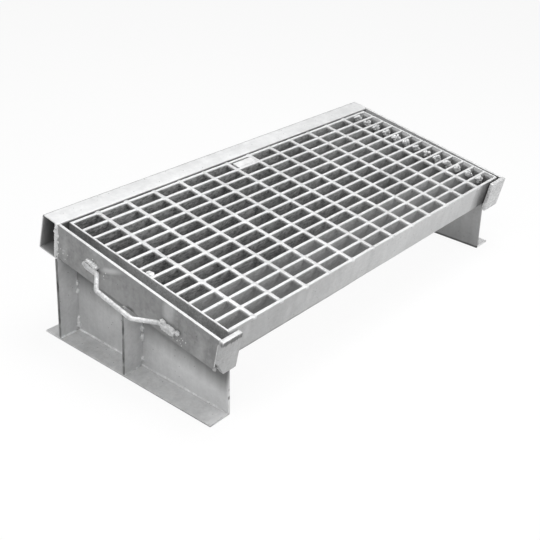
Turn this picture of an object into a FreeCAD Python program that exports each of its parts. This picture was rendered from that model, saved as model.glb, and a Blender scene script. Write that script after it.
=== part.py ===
import FreeCAD, Part
import math
import os

# Kerb inlet grate: a welded bar grating lying in a sloped frame on two legs. Millimetres, +Z up.
# X runs along the kerb, Y from the road side to the kerb side. The base is at Z = 0.
# Most pieces are drawn on the slope: u along X from the middle, v up the slope from the front bar's centre line,
# n square to the slope, zero at the top of the grating. They are then tilted and lifted into place.

# Slope and height
slope_deg = 9.0
front_height = 253.0

# Grating
bar_count = 14
bar_pitch = 41.0
bar_thickness = 8.0
bar_depth = 87.0
end_bar_thickness = 5.0
rod_count = 12
rod_pitch = 100.0
rod_width = 12.0
rod_depth = 10.0
first_rod_from_left = 89.0
last_rod_to_right = 122.0

# Plate welded in a rear cell and lug welded to the left end bar
lock_plate_cell = 5
lock_plate_thickness = 8.0
lock_plate_gap_left = 7.0
lock_plate_gap_rear = 6.0
end_lug_row = 6
end_lug_length = 18.0
end_lug_width = 22.0
end_lug_thickness = 12.0

# Side angles
side_gap = 24.5
angle_thickness = 8.0
angle_seat_width = 75.0
angle_root_radius = 8.0
angle_toe_radius = 4.0
side_front_drop = 7.5
side_rear_rise = 2.0
front_gap = 3.0
rear_gap = 5.0

# Kerb tube
tube_width = 58.0
tube_base_width = 65.0
tube_rise = 1.5
tube_depth = 102.5
tube_wall = 4.0
tube_corner_radius = 5.0

# Front stops
left_stop_width = 68.0
left_stop_height = 103.0
left_stop_cut_width = 24.0
left_stop_cut_height = 38.0
right_stop_width = 86.5
right_stop_height = 99.0
right_stop_cut = 4.0
right_stop_overhang = 7.5
stop_thickness = 12.0
stop_top_drop = 8.5
stop_corner_radius = 4.0

# Legs
leg_thickness = 6.0
leg_inset = 26.0
foot_width = 64.0
leg_root_radius = 2.0
leg_heel_radius = 2.0
leg_front = 6.0
leg_front_lean = 9.0
leg_length = 594.0
leg_corner_radius = 15.0
gusset_thickness = 6.0
gusset_snip = 10.0
rear_gusset_from_tube = 7.0
middle_gusset_from_front = 294.0

# Anchor bars
anchor_diameter = 12.0
anchor_stand_off = 45.0
anchor_grip_length = 121.0
anchor_splay = 49.0
anchor_foot_length = 49.0
anchor_bend_radius = 16.0
anchor_front_v = 117.0
anchor_front_n = -68.5
anchor_tilt_deg = 3.4

# Places that follow from the sizes
slope = math.radians(slope_deg)
grate_length = first_rod_from_left + (rod_count - 1) * rod_pitch + last_rod_to_right
grate_half = grate_length / 2
grate_width = (bar_count - 1) * bar_pitch
end_face = grate_half + end_bar_thickness / 2
side_inner = end_face + side_gap
side_outer = side_inner + angle_thickness
seat_top = -bar_depth
seat_bottom = seat_top - angle_thickness
seat_inner = side_outer - angle_seat_width
side_front = -bar_thickness / 2 - front_gap
tube_front = grate_width + bar_thickness / 2 + rear_gap
tube_bottom = tube_rise - tube_depth
stop_front = side_front - stop_thickness
web_outer = grate_half - leg_inset + leg_thickness / 2
web_inner = web_outer - leg_thickness
foot_outer = web_outer + foot_width
leg_rear = leg_front + leg_length
middle_gusset_y = leg_front + middle_gusset_from_front


def slope_y(v, n):
    """Y of a slope point, measured from the front bar's centre line."""
    return v * math.cos(slope) - n * math.sin(slope)


def height_on_slope(y, n):
    """Height above the base of the plane that lies n above the grating's top, at distance y from the front bar."""
    return front_height + y * math.tan(slope) + n / math.cos(slope)


def vector(x, y, z):
    return FreeCAD.Vector(x, y, z)


def tube_corners(inset):
    """Corners of the kerb tube's left end, moved inwards by an inset. Its rear wall leans out towards the base."""
    lean = (tube_base_width - tube_width) / tube_depth
    low = tube_bottom + inset
    high = tube_rise - inset
    front = tube_front + inset
    rear = tube_front + tube_width - inset * math.hypot(1, lean)
    return [
        vector(-side_outer, front, low),
        vector(-side_outer, rear + (tube_rise - low) * lean, low),
        vector(-side_outer, rear + (tube_rise - high) * lean, high),
        vector(-side_outer, front, high),
    ]


# The middle of the depth goes to Y = 0. The stops reach furthest to the front, the tube or the feet to the rear.
tube_turn = tube_corners(tube_corner_radius)[1]
reach_front = slope_y(stop_front, -stop_top_drop)
reach_rear = max(slope_y(tube_turn.y, tube_turn.z) + tube_corner_radius, leg_rear)
middle_y = (reach_front + reach_rear) / 2
rear_gusset_y = slope_y(tube_front, seat_bottom) - rear_gusset_from_tube


def place_on_slope(shape):
    """Tilts a shape drawn on the slope and lifts it to its height."""
    placed = shape.copy()
    placed.rotate(vector(0, 0, 0), vector(1, 0, 0), slope_deg)
    placed.translate(vector(0, -middle_y, front_height))
    return placed


def place_on_base(shape):
    """Moves a shape drawn from the front bar's centre line so that the depth is centred."""
    placed = shape.copy()
    placed.translate(vector(0, -middle_y, 0))
    return placed


def mirrored(shape):
    """The same piece for the other end of the grating."""
    return shape.mirror(vector(0, 0, 0), vector(1, 0, 0))


def block(low, high):
    size = high - low
    return Part.makeBox(size.x, size.y, size.z, low)


def rounded_face(corners, radii):
    """A flat face with the given corners, each rounded to its radius."""
    edges = []
    starts = []
    ends = []
    count = len(corners)
    for i in range(count):
        corner = corners[i]
        to_last = (corners[i - 1] - corner).normalize()
        to_next = (corners[(i + 1) % count] - corner).normalize()
        half_angle = to_last.getAngle(to_next) / 2
        radius = radii[i]
        reach = radius / math.tan(half_angle)
        starts.append(corner + to_last * reach)
        ends.append(corner + to_next * reach)
        if radius > 0:
            inward = (to_last + to_next).normalize()
            turn = corner + inward * (radius / math.sin(half_angle) - radius)
            edges.append(Part.Arc(starts[i], turn, ends[i]).toShape())
        if i > 0:
            edges.append(Part.makeLine(ends[i - 1], starts[i]))
    edges.append(Part.makeLine(ends[-1], starts[0]))
    return Part.Face(Part.Wire(Part.__sortEdges__(edges)))


def make_grate():
    """Bearing bars, cross rods and end bars, fused where they meet."""
    inner_end = grate_half - end_bar_thickness / 2
    half_bar = bar_thickness / 2
    pieces = []
    for i in range(bar_count):
        v = i * bar_pitch
        low = vector(-inner_end, v - half_bar, -bar_depth)
        high = vector(inner_end, v + half_bar, 0)
        pieces.append(block(low, high))
    for i in range(rod_count):
        u = rod_u(i)
        low = vector(u - rod_width / 2, 0, -rod_depth)
        high = vector(u + rod_width / 2, grate_width, 0)
        pieces.append(block(low, high))
    left_end = block(
        vector(-end_face, -half_bar, -bar_depth),
        vector(-inner_end, grate_width + half_bar, 0),
    )
    pieces.append(left_end)
    pieces.append(mirrored(left_end))
    return pieces[0].multiFuse(pieces[1:]).removeSplitter()


def rod_u(index):
    return -grate_half + first_rod_from_left + index * rod_pitch


def make_lock_plate():
    """Plate between two rods in the rear row, clear of the rear bar and of the rod on its left."""
    low = vector(
        rod_u(lock_plate_cell) + rod_width / 2 + lock_plate_gap_left,
        grate_width - bar_pitch + bar_thickness / 2,
        -lock_plate_thickness,
    )
    high = vector(
        rod_u(lock_plate_cell + 1) - rod_width / 2,
        grate_width - bar_thickness / 2 - lock_plate_gap_rear,
        0,
    )
    return block(low, high)


def make_end_lug():
    """Block in the corner between the left end bar and a bearing bar."""
    low = vector(
        -grate_half + end_bar_thickness / 2,
        end_lug_row * bar_pitch + bar_thickness / 2,
        -end_lug_thickness,
    )
    return Part.makeBox(end_lug_length, end_lug_width, end_lug_thickness, low)


def make_side_angle():
    """Right-hand angle: a seat under the grating's end and an upright side, lower at its front."""
    corners = [
        vector(seat_inner, side_front, seat_bottom),
        vector(side_outer, side_front, seat_bottom),
        vector(side_outer, side_front, side_rear_rise),
        vector(side_inner, side_front, side_rear_rise),
        vector(side_inner, side_front, seat_top),
        vector(seat_inner, side_front, seat_top),
    ]
    radii = [0, 0, 0, 0, angle_root_radius, angle_toe_radius]
    run = tube_front - side_front
    angle = rounded_face(corners, radii).extrude(vector(0, run, 0))
    wedge_corners = [
        vector(seat_inner, side_front, -side_front_drop),
        vector(seat_inner, tube_front, side_rear_rise),
        vector(seat_inner, side_front, side_rear_rise + angle_thickness),
    ]
    wedge = rounded_face(wedge_corners, [0, 0, 0]).extrude(vector(2 * angle_seat_width, 0, 0))
    return angle.cut(wedge)


def make_kerb_tube():
    """Four-sided hollow section, as long as the frame."""
    outside = rounded_face(tube_corners(0), [tube_corner_radius] * 4)
    bore_radius = tube_corner_radius - tube_wall
    bore = rounded_face(tube_corners(tube_wall), [bore_radius] * 4)
    return outside.cut(bore).extrude(vector(2 * side_outer, 0, 0))


def make_stop(outer, width, height, cut_width, cut_height):
    """A thick flat for the right-hand end, square to the slope, with its lower outer corner cut off."""
    inner = outer - width
    top = -stop_top_drop
    bottom = top - height
    corners = [
        vector(inner, stop_front, bottom),
        vector(outer - cut_width, stop_front, bottom),
        vector(outer, stop_front, bottom + cut_height),
        vector(outer, stop_front, top),
        vector(inner, stop_front, top),
    ]
    return rounded_face(corners, [stop_corner_radius] * 5).extrude(vector(0, stop_thickness, 0))


def make_left_stop():
    stop = make_stop(side_outer, left_stop_width, left_stop_height, left_stop_cut_width, left_stop_cut_height)
    return mirrored(stop)


def make_right_stop():
    outer = side_outer + right_stop_overhang
    return make_stop(outer, right_stop_width, right_stop_height, right_stop_cut, right_stop_cut)


def make_leg():
    """Right-hand leg: a foot and a web that follows the undersides of the seat and the tube, its front edge leaning."""
    web_start = 2 * leg_thickness + leg_root_radius
    fold_corners = [
        vector(web_inner, leg_front, 0),
        vector(foot_outer, leg_front, 0),
        vector(foot_outer, leg_front, leg_thickness),
        vector(web_outer, leg_front, leg_thickness),
        vector(web_outer, leg_front, web_start),
        vector(web_inner, leg_front, web_start),
    ]
    fold_radii = [leg_heel_radius, 0, 0, leg_root_radius, 0, 0]
    fold = rounded_face(fold_corners, fold_radii).extrude(vector(0, leg_length, 0))
    step_top_y = slope_y(tube_front, seat_bottom)
    step_low_y = slope_y(tube_front, tube_bottom)
    top_front = leg_front + leg_front_lean
    web_corners = [
        vector(web_inner, leg_front, web_start),
        vector(web_inner, leg_rear, web_start),
        vector(web_inner, leg_rear, height_on_slope(leg_rear, tube_bottom)),
        vector(web_inner, step_low_y, height_on_slope(step_low_y, tube_bottom)),
        vector(web_inner, step_top_y, height_on_slope(step_top_y, seat_bottom)),
        vector(web_inner, top_front, height_on_slope(top_front, seat_bottom)),
    ]
    web_radii = [0, 0, 0, 0, 0, leg_corner_radius]
    web = rounded_face(web_corners, web_radii).extrude(vector(leg_thickness, 0, 0))
    return fold.fuse(web).removeSplitter()


def make_gusset(middle):
    """Right-hand stiffener between web, foot and side angle, its inner lower corner snipped off the root."""
    front = middle - gusset_thickness / 2
    rear = middle + gusset_thickness / 2
    seat_height = height_on_slope(rear, seat_bottom)
    corners = [
        vector(web_outer + gusset_snip, front, leg_thickness),
        vector(foot_outer, front, leg_thickness),
        vector(foot_outer, front, seat_height),
        vector(web_outer, front, seat_height),
        vector(web_outer, front, leg_thickness + gusset_snip),
    ]
    plate = rounded_face(corners, [0] * 5).extrude(vector(0, gusset_thickness, 0))
    reach = foot_width + side_outer
    slant_corners = [
        vector(0, front, height_on_slope(front, seat_bottom)),
        vector(0, rear, seat_height),
        vector(0, front, seat_height),
    ]
    slant = rounded_face(slant_corners, [0] * 3).extrude(vector(reach, 0, 0))
    return plate.cut(slant)


def make_anchor_bar():
    """Right-hand anchor: a round bar bent into a hat, its two feet along the side angle's outer face."""
    near = side_outer + anchor_diameter / 2
    far = near + anchor_stand_off
    runs = [
        (near, 0),
        (near, anchor_foot_length),
        (far, anchor_foot_length + anchor_splay),
        (far, anchor_foot_length + anchor_splay + anchor_grip_length),
        (near, anchor_foot_length + 2 * anchor_splay + anchor_grip_length),
        (near, 2 * anchor_foot_length + 2 * anchor_splay + anchor_grip_length),
    ]
    tilt = math.radians(anchor_tilt_deg)
    points = []
    for u, along in runs:
        v = anchor_front_v + along * math.cos(tilt)
        n = anchor_front_n + along * math.sin(tilt)
        points.append(vector(u, v, n))
    edges = []
    last_end = points[0]
    for i in range(1, len(points) - 1):
        corner = points[i]
        to_last = (points[i - 1] - corner).normalize()
        to_next = (points[i + 1] - corner).normalize()
        half_angle = to_last.getAngle(to_next) / 2
        reach = anchor_bend_radius / math.tan(half_angle)
        inward = (to_last + to_next).normalize()
        turn = corner + inward * (anchor_bend_radius / math.sin(half_angle) - anchor_bend_radius)
        start = corner + to_last * reach
        end = corner + to_next * reach
        edges.append(Part.makeLine(last_end, start))
        edges.append(Part.Arc(start, turn, end).toShape())
        last_end = end
    edges.append(Part.makeLine(last_end, points[-1]))
    path = Part.Wire(edges)
    section = Part.Wire(Part.makeCircle(anchor_diameter / 2, points[0], points[1] - points[0]))
    sweep = Part.BRepOffsetAPI.MakePipeShell(path)
    sweep.add(section)
    sweep.build()
    sweep.makeSolid()
    return sweep.shape()


def export(shape, name):
    shape.exportStep(os.path.join("parts", name + ".step"))


os.makedirs("parts", exist_ok=True)

export(place_on_slope(make_grate()), "grate")
export(place_on_slope(make_lock_plate()), "lock_plate")
export(place_on_slope(make_end_lug()), "end_lug")
export(place_on_slope(make_kerb_tube()), "kerb_tube")

export(place_on_slope(make_left_stop()), "stop_left")
export(place_on_slope(make_right_stop()), "stop_right")

right_pieces = {
    "side_angle": place_on_slope(make_side_angle()),
    "anchor_bar": place_on_slope(make_anchor_bar()),
    "leg": place_on_base(make_leg()),
}
for name, shape in right_pieces.items():
    export(shape, name + "_right")
    export(mirrored(shape), name + "_left")

for place, middle in (("rear", rear_gusset_y), ("middle", middle_gusset_y)):
    gusset = place_on_base(make_gusset(middle))
    export(gusset, "gusset_right_" + place)
    export(mirrored(gusset), "gusset_left_" + place)
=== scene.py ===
"""Looks of a kerb inlet grate: a galvanised bar grating that lies in a welded frame on two legs.

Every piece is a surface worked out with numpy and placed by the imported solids. Metres, +Z up. X runs
along the kerb and Y from the road side to the kerb side. Most places are given on the slope: u along X
from the middle, v up the slope from the front bar's centre line, n square to the slope with zero at the
grating's top.
"""

import logging
import math
from dataclasses import dataclass
from enum import Enum, IntEnum
from typing import ClassVar, Sequence

import bpy
import numpy as np
from mathutils import Matrix, Vector


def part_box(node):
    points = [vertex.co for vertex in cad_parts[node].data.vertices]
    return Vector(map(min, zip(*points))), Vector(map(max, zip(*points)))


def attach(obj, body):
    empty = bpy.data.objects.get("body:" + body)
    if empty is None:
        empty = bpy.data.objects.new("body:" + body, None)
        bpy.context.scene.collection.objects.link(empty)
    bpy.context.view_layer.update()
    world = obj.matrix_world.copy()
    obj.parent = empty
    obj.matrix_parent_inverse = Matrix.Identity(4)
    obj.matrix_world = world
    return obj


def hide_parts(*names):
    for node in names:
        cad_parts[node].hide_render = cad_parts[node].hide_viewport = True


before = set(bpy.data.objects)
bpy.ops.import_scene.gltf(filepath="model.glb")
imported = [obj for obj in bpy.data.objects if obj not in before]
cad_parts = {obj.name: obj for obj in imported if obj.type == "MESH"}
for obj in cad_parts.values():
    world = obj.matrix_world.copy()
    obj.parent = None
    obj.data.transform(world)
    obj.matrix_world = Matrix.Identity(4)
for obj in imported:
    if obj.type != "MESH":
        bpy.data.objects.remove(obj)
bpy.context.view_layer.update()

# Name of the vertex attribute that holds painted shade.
SHADE = "shade"
BODY = "root"
LOG = logging.getLogger("kerb_inlet_grate")

Array = np.ndarray
Pair = tuple[float, float]
Colour = tuple[float, float, float]
Point = tuple[float, float, float]


class Side(Enum):
    """The two ends of the frame, with the sign of X that they lie at."""

    LEFT = -1
    RIGHT = 1

    @property
    def word(self) -> str:
        """The end's name as it stands in the names of the pieces."""
        return self.name.lower()


class Slot(Enum):
    """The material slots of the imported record."""

    GRATE = "galvanised_grate"
    FRAME = "galvanised_frame"
    BAR = "galvanised_bar"


class Seed(IntEnum):
    """First seeds of the random draws. A draw for one of many adds that one's number."""

    MOUNDS = 11
    LOCK_FRONT = 21
    LOCK_RIGHT = 23
    END_LUMPS = 29
    TUBE_BEAD = 31
    TUBE_LUMPS = 37
    STIFFENERS = 40
    SPATTER = 61
    ANCHOR = 71
    ANCHOR_LUMPS = 83
    ANCHOR_BEADS = 90
    BAR_SWAY = 100
    LEG_STITCHES = 120
    STOP_BEAD = 140
    STOP_EDGE = 142
    FOLD = 150
    BAR_SWELL = 200
    BAR_LIFT = 300
    ROD_SWAY = 400
    ROD_SWELL = 500
    ROD_SINK = 600
    TUBE_DENTS = 700
    DROP_DENTS = 900
    CORNER_DENTS = 950
    ANCHOR_DENTS = 970


# Outlines and stations


def unit(vector: Array) -> Array:
    """Scales vectors to length one.

    Args:
        vector: One vector, or an array of them along its last axis.

    Returns:
        The same directions with length one.
    """
    return vector / np.linalg.norm(vector, axis=-1, keepdims=True)


def points_of(x: Array, y: Array, z: Array) -> Array:
    """Points from their three coordinates, along a new last axis."""
    return np.stack(np.broadcast_arrays(x, y, z), axis=-1)


def turns(count: int) -> Array:
    """Angles spread evenly over a full turn."""
    return np.linspace(0, 2 * math.pi, count, endpoint=False)


def squared(wave: Array, power: float) -> Array:
    """A wave with flatter tops, which turns a circle into a square with round corners."""
    return np.sign(wave) * np.abs(wave) ** power


def rounded_outline(corners: Sequence[Pair], radii: Sequence[float], steps: int = 4) -> Array:
    """A closed outline whose corners are turned into arcs.

    An arc is tangent to both sides of its corner, so it starts at radius / tan(half angle) from the
    corner, and its centre lies on the bisector at radius / sin(half angle). Points on it are blended
    between the two radius arms by the sines of the shares of the turn.

    Args:
        corners: The corners in order.
        radii: The radius at each corner, zero for a sharp one.
        steps: How many parts an arc is divided into.

    Returns:
        The outline's points, one row each.
    """
    points = np.asarray(corners, float)
    pieces = []
    for i, radius in enumerate(radii):
        corner = points[i]
        if radius <= 0:
            pieces.append(corner[None])
            continue
        to_last = unit(points[i - 1] - corner)
        to_next = unit(points[(i + 1) % len(points)] - corner)
        half = math.acos(float(np.clip(to_last @ to_next, -1, 1))) / 2
        reach = radius / math.tan(half)
        centre = corner + unit(to_last + to_next) * radius / math.sin(half)
        turn = math.pi - 2 * half
        share = np.linspace(0, 1, steps + 1)[:, None]
        first_arm = corner + to_last * reach - centre
        last_arm = corner + to_next * reach - centre
        blended = np.sin((1 - share) * turn) * first_arm + np.sin(share * turn) * last_arm
        pieces.append(centre + blended / math.sin(turn))
    return np.concatenate(pieces)


def rectangle(low: Pair, high: Pair, radius: float) -> Array:
    """The outline of a rectangle with round corners.

    Args:
        low: Its lowest corner.
        high: Its highest corner.
        radius: The radius of its corners.

    Returns:
        The outline's points, one row each.
    """
    corners = [low, (high[0], low[1]), high, (low[0], high[1])]
    return rounded_outline(corners, [radius] * 4, 3)


def inward(outline: Array) -> Array:
    """Directions that inset an outline: moving each point by d along its own moves every side inward by d.

    The direction at a point is the sum of the normals of its two sides, divided by one plus their product.

    Args:
        outline: A closed outline, one point a row.

    Returns:
        One direction for each point.
    """
    ahead = unit(np.roll(outline, -1, axis=0) - outline)
    behind = np.roll(ahead, 1, axis=0)
    x, y = outline.T
    area = np.sum(x * np.roll(y, -1) - y * np.roll(x, -1))
    left = np.sign(area) * np.array([[0, 1], [-1, 0]])
    first, second = behind @ left, ahead @ left
    return (first + second) / (1 + np.sum(first * second, axis=1, keepdims=True))


def stations(length: float, radius: float, inner: int = 0, steps: int = 3) -> tuple[Array, Array]:
    """Places along a run whose two ends have rounded edges.

    At an end the outline grows from its inset size along a quarter circle: at the turn t it lies
    radius * (1 - cos t) along the run and is inset by radius * (1 - sin t).

    Args:
        length: The whole run.
        radius: The edge radius at both ends.
        inner: How many more places lie between the rounded ends.
        steps: How many parts a quarter circle is divided into.

    Returns:
        The distance along the run and the inset, for each place.
    """
    turn = np.linspace(0, math.pi / 2, steps + 1)
    along = radius * (1 - np.cos(turn))
    inset = radius * (1 - np.sin(turn))
    between = np.linspace(radius, length - radius, inner + 2)[1:-1]
    places = np.concatenate([along, between, length - along[::-1]])
    return places, np.concatenate([inset, np.zeros(inner), inset[::-1]])


def uneven(count: int, knots: int, seed: int) -> Array:
    """Smooth random values between -1 and 1 along a run.

    Random knots are joined by half cosine waves, so the values have no corners.

    Args:
        count: How many values.
        knots: How many random knots they pass through.
        seed: The seed of the random draw.

    Returns:
        The values in order.
    """
    draw = np.random.default_rng(seed).uniform(-1, 1, knots + 1)
    place = np.linspace(0, knots - 1e-6, count)
    low = place.astype(int)
    ease = (1 - np.cos((place - low) * math.pi)) / 2
    return draw[low] * (1 - ease) + draw[low + 1] * ease


@dataclass
class Surface:
    """Vertices and the faces between them."""

    vertices: Array
    quads: Array
    caps: list[Array]
    shade: Array

    @staticmethod
    def loft(sections: Array, ring: bool = False, shade: Array | None = None) -> "Surface":
        """A closed skin through a row of closed sections.

        Quads join each section to the next. The two ends are closed by one face each, or joined to each
        other in a ring. The skin is turned so that it encloses a positive volume.

        Args:
            sections: Points of shape (sections, points, 3).
            ring: Whether the last section is joined to the first.
            shade: How much each section is darkened, if it is.

        Returns:
            The skin.
        """
        count, points = sections.shape[:2]
        index = np.arange(count * points).reshape(count, points)
        ahead = np.roll(index, -1, axis=0)
        last = count if ring else count - 1
        corners = [index, np.roll(index, -1, axis=1), np.roll(ahead, -1, axis=1), ahead]
        quads = np.stack([corner[:last] for corner in corners], axis=-1).reshape(-1, 4)
        caps = [] if ring else [index[0, ::-1], index[-1]]
        dimmed = np.zeros(count) if shade is None else shade
        skin = Surface(sections.reshape(-1, 3), quads, caps, np.repeat(dimmed, points))
        if skin.volume() < 0:
            skin = Surface(skin.vertices, quads[:, ::-1], [cap[::-1] for cap in caps], skin.shade)
        return skin

    def volume(self) -> float:
        """The enclosed volume: a sixth of the sum of the triple products of all its triangles.

        Every face is cut into triangles that fan out from its first point.

        Returns:
            The volume, below zero where the faces look inward.
        """
        fans = [self.quads[:, [0, 1, 2]], self.quads[:, [0, 2, 3]]]
        for cap in self.caps:
            first = np.full(len(cap) - 2, cap[0])
            fans.append(np.stack([first, cap[1:-1], cap[2:]], axis=-1))
        corner = (self.vertices - self.vertices.mean(axis=0))[np.concatenate(fans)]
        return float(np.sum(corner[:, 0] * np.cross(corner[:, 1], corner[:, 2]))) / 6

    @staticmethod
    def joined(parts: Sequence["Surface"]) -> "Surface":
        """Several skins as one.

        Args:
            parts: The skins.

        Returns:
            One surface that holds them all.
        """
        starts = np.cumsum([0] + [len(part.vertices) for part in parts])
        quads = [part.quads + start for part, start in zip(parts, starts)]
        caps = [cap + start for part, start in zip(parts, starts) for cap in part.caps]
        vertices = np.concatenate([part.vertices for part in parts])
        shade = np.concatenate([part.shade for part in parts])
        return Surface(vertices, np.concatenate(quads), caps, shade)


def prism(outline: Array, depth: float, radius: float, inner: int = 0) -> tuple[Array, Array]:
    """A plate's sections: its outline carried through its thickness, inset along the rounded edges.

    Args:
        outline: The plate's outline, one point a row.
        depth: The plate's thickness.
        radius: The radius of its edges.
        inner: How many more sections lie between the edges.

    Returns:
        The outline in each section, of shape (sections, points, 2), and each section's place, of shape
        (sections, 1).
    """
    along, inset = stations(depth, radius, inner)
    return outline + inward(outline) * inset[:, None, None], along[:, None]


def ball(rings: int, points: int, pole: float, power: float = 1.0) -> tuple[Array, Array, Array]:
    """A ball's sections, or with a power below one those of a block with round edges.

    Args:
        rings: How many sections it has.
        points: How many points a section has.
        pole: How far its end sections are tilted, as a share of half a turn.
        power: What the waves are squared with.

    Returns:
        Points of shape (rings, points, 3), the tilt of each section and the turn of each point.
    """
    tilt = np.linspace(-pole * math.pi, pole * math.pi, rings)[:, None]
    turn = turns(points)[None]
    around = squared(np.cos(tilt), power)
    x = around * squared(np.cos(turn), power)
    y = around * squared(np.sin(turn), power)
    return points_of(x, y, squared(np.sin(tilt), power)), tilt, turn


LUMP_POLE = 0.47
LUMP_DENT = 0.16
LUMP_SLANT = 0.12
SMALL_LUMP = (6, 8)
DROP_LUMP = (5, 6)


def lump(centre: Array, reach: Array, seed: int, rings: int = 7, points: int = 10) -> Array:
    """Sections of an uneven lump: a ball, stretched along the three axes and dented by slow waves.

    Args:
        centre: Its middle.
        reach: Its half size along each axis.
        seed: The seed of its waves.
        rings: How many sections it has.
        points: How many points a section has.

    Returns:
        Points of shape (rings, points, 3).
    """
    first, second = np.random.default_rng(seed).uniform(0, 2 * math.pi, 2)
    skin, tilt, turn = ball(rings, points, LUMP_POLE)
    dents = 1 + LUMP_DENT * np.sin(3 * turn + first) * np.cos(2 * tilt)
    dents = dents + LUMP_SLANT * np.sin(2 * turn - 3 * tilt + second)
    return np.asarray(centre) + np.asarray(reach) * skin * dents[..., None]


# The slope


@dataclass
class SlopeFrame:
    """The tilted frame that the grating lies in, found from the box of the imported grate."""

    angle_deg: float = 9.0
    bar_half: float = 0.004

    def __post_init__(self) -> None:
        """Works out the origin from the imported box.

        A tilted block of width w and depth d spans w cos + d sin in Y and w sin + d cos in Z.
        """
        self.angle = math.radians(self.angle_deg)
        self.cos = math.cos(self.angle)
        self.sin = math.sin(self.angle)
        low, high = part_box("grate")
        spread = high - low
        width = (spread.y * self.cos - spread.z * self.sin) / (self.cos ** 2 - self.sin ** 2)
        self.y0 = low.y + self.bar_half * self.cos
        self.z0 = high.z - (width - self.bar_half) * self.sin

    def place(self, u: Array, v: Array, n: Array) -> Array:
        """World points of places on the slope.

        Args:
            u: Along X.
            v: Up the slope.
            n: Square to the slope.

        Returns:
            Points along a new last axis.
        """
        y = self.y0 + v * self.cos - n * self.sin
        z = self.z0 + v * self.sin + n * self.cos
        return points_of(u, y, z)

    def direction(self, u: float, v: float, n: float) -> Array:
        """World direction of a direction on the slope."""
        return self.place(u, v, n) - self.place(0.0, 0.0, 0.0)

    def height(self, y: Array, n: float) -> Array:
        """World height of the plane at n above the slope, at world y."""
        return self.z0 + (y - self.y0) * self.sin / self.cos + n / self.cos

    def line(self, v: float, n: float) -> float:
        """World y of a place on the slope."""
        return self.y0 + v * self.cos - n * self.sin

    def point(self, u: float, v: float, n: float) -> Point:
        """One world point of a place on the slope, as plain numbers."""
        return tuple(float(value) for value in self.place(u, v, n))


SLOPE = SlopeFrame()


# Finishes


def grey(level: float) -> Colour:
    """A zinc grey, a trace cooler than neutral."""
    return (level, level * 1.005, level * 1.008)


def scaled(colour: Colour, gain: float) -> Colour:
    """A colour made paler or darker."""
    return tuple(gain * channel for channel in colour)


# Dark patch colour: real stains and nicks, and painted shade.
STAIN_AND_SHADE = grey(0.05)
# Pale patch colour: pale smudges and scratches, and painted light.
SMEAR_AND_LIGHT = grey(0.9)
# Painted light: a paler patch colour where more light falls.
PAINTED_LIGHT = grey(0.7)


@dataclass(frozen=True)
class Patch:
    """A soft patch on a surface. Some are real marks, such as pale smudges beside welds and dark nicks;
    others are painted light and painted shade.
    """

    centre: Point
    reach: Point
    strength: float
    colour: Colour = STAIN_AND_SHADE
    turn_deg: float = 0.0
    soft: float = 0.6
    ragged: float = 0.9
    full: ClassVar[float] = 1.04
    ragged_middle: ClassVar[float] = 0.45


@dataclass(frozen=True)
class Shelter:
    """Painted shade: another pair of greys on the faces below a tilted plane, such as the sides of bars,
    whose pale tops are painted as lit. On the side plates and the stops the pair is also the plate's own
    tone.

    The plane goes through its origin. The greys come in between the two depths below it, and only behind
    the line between the front and behind distances. Gain is how much paler they are at the far depth, and
    below one it paints deeper shade further down; grain adds fine speckles.
    """

    pale: Colour
    dark: Colour
    origin: Point
    angle: float
    start: float = 0.0012
    end: float = 0.004
    front: float = -9.0
    behind: float = -8.0
    far: float = 0.06
    gain: float = 1.0
    grain: float = 0.0
    stretch: ClassVar[Point] = (70.0, 190.0, 190.0)
    speckle_range: ClassVar[Pair] = (0.3, 0.7)


@dataclass(frozen=True)
class Pattern:
    """A noise pattern: how deep and how rough its detail is, and what it weighs in the zinc's tone."""

    detail: float
    roughness: float
    weight: float = 0.0


CLOUDS = Pattern(3.0, 0.5, 0.36)
MOTTLE = Pattern(6.0, 0.65, 0.34)
RUNS = Pattern(4.0, 0.6, 0.22)
GRAIN = Pattern(4.0, 0.6)
SPECKLE = Pattern(4.0, 0.75)


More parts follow.
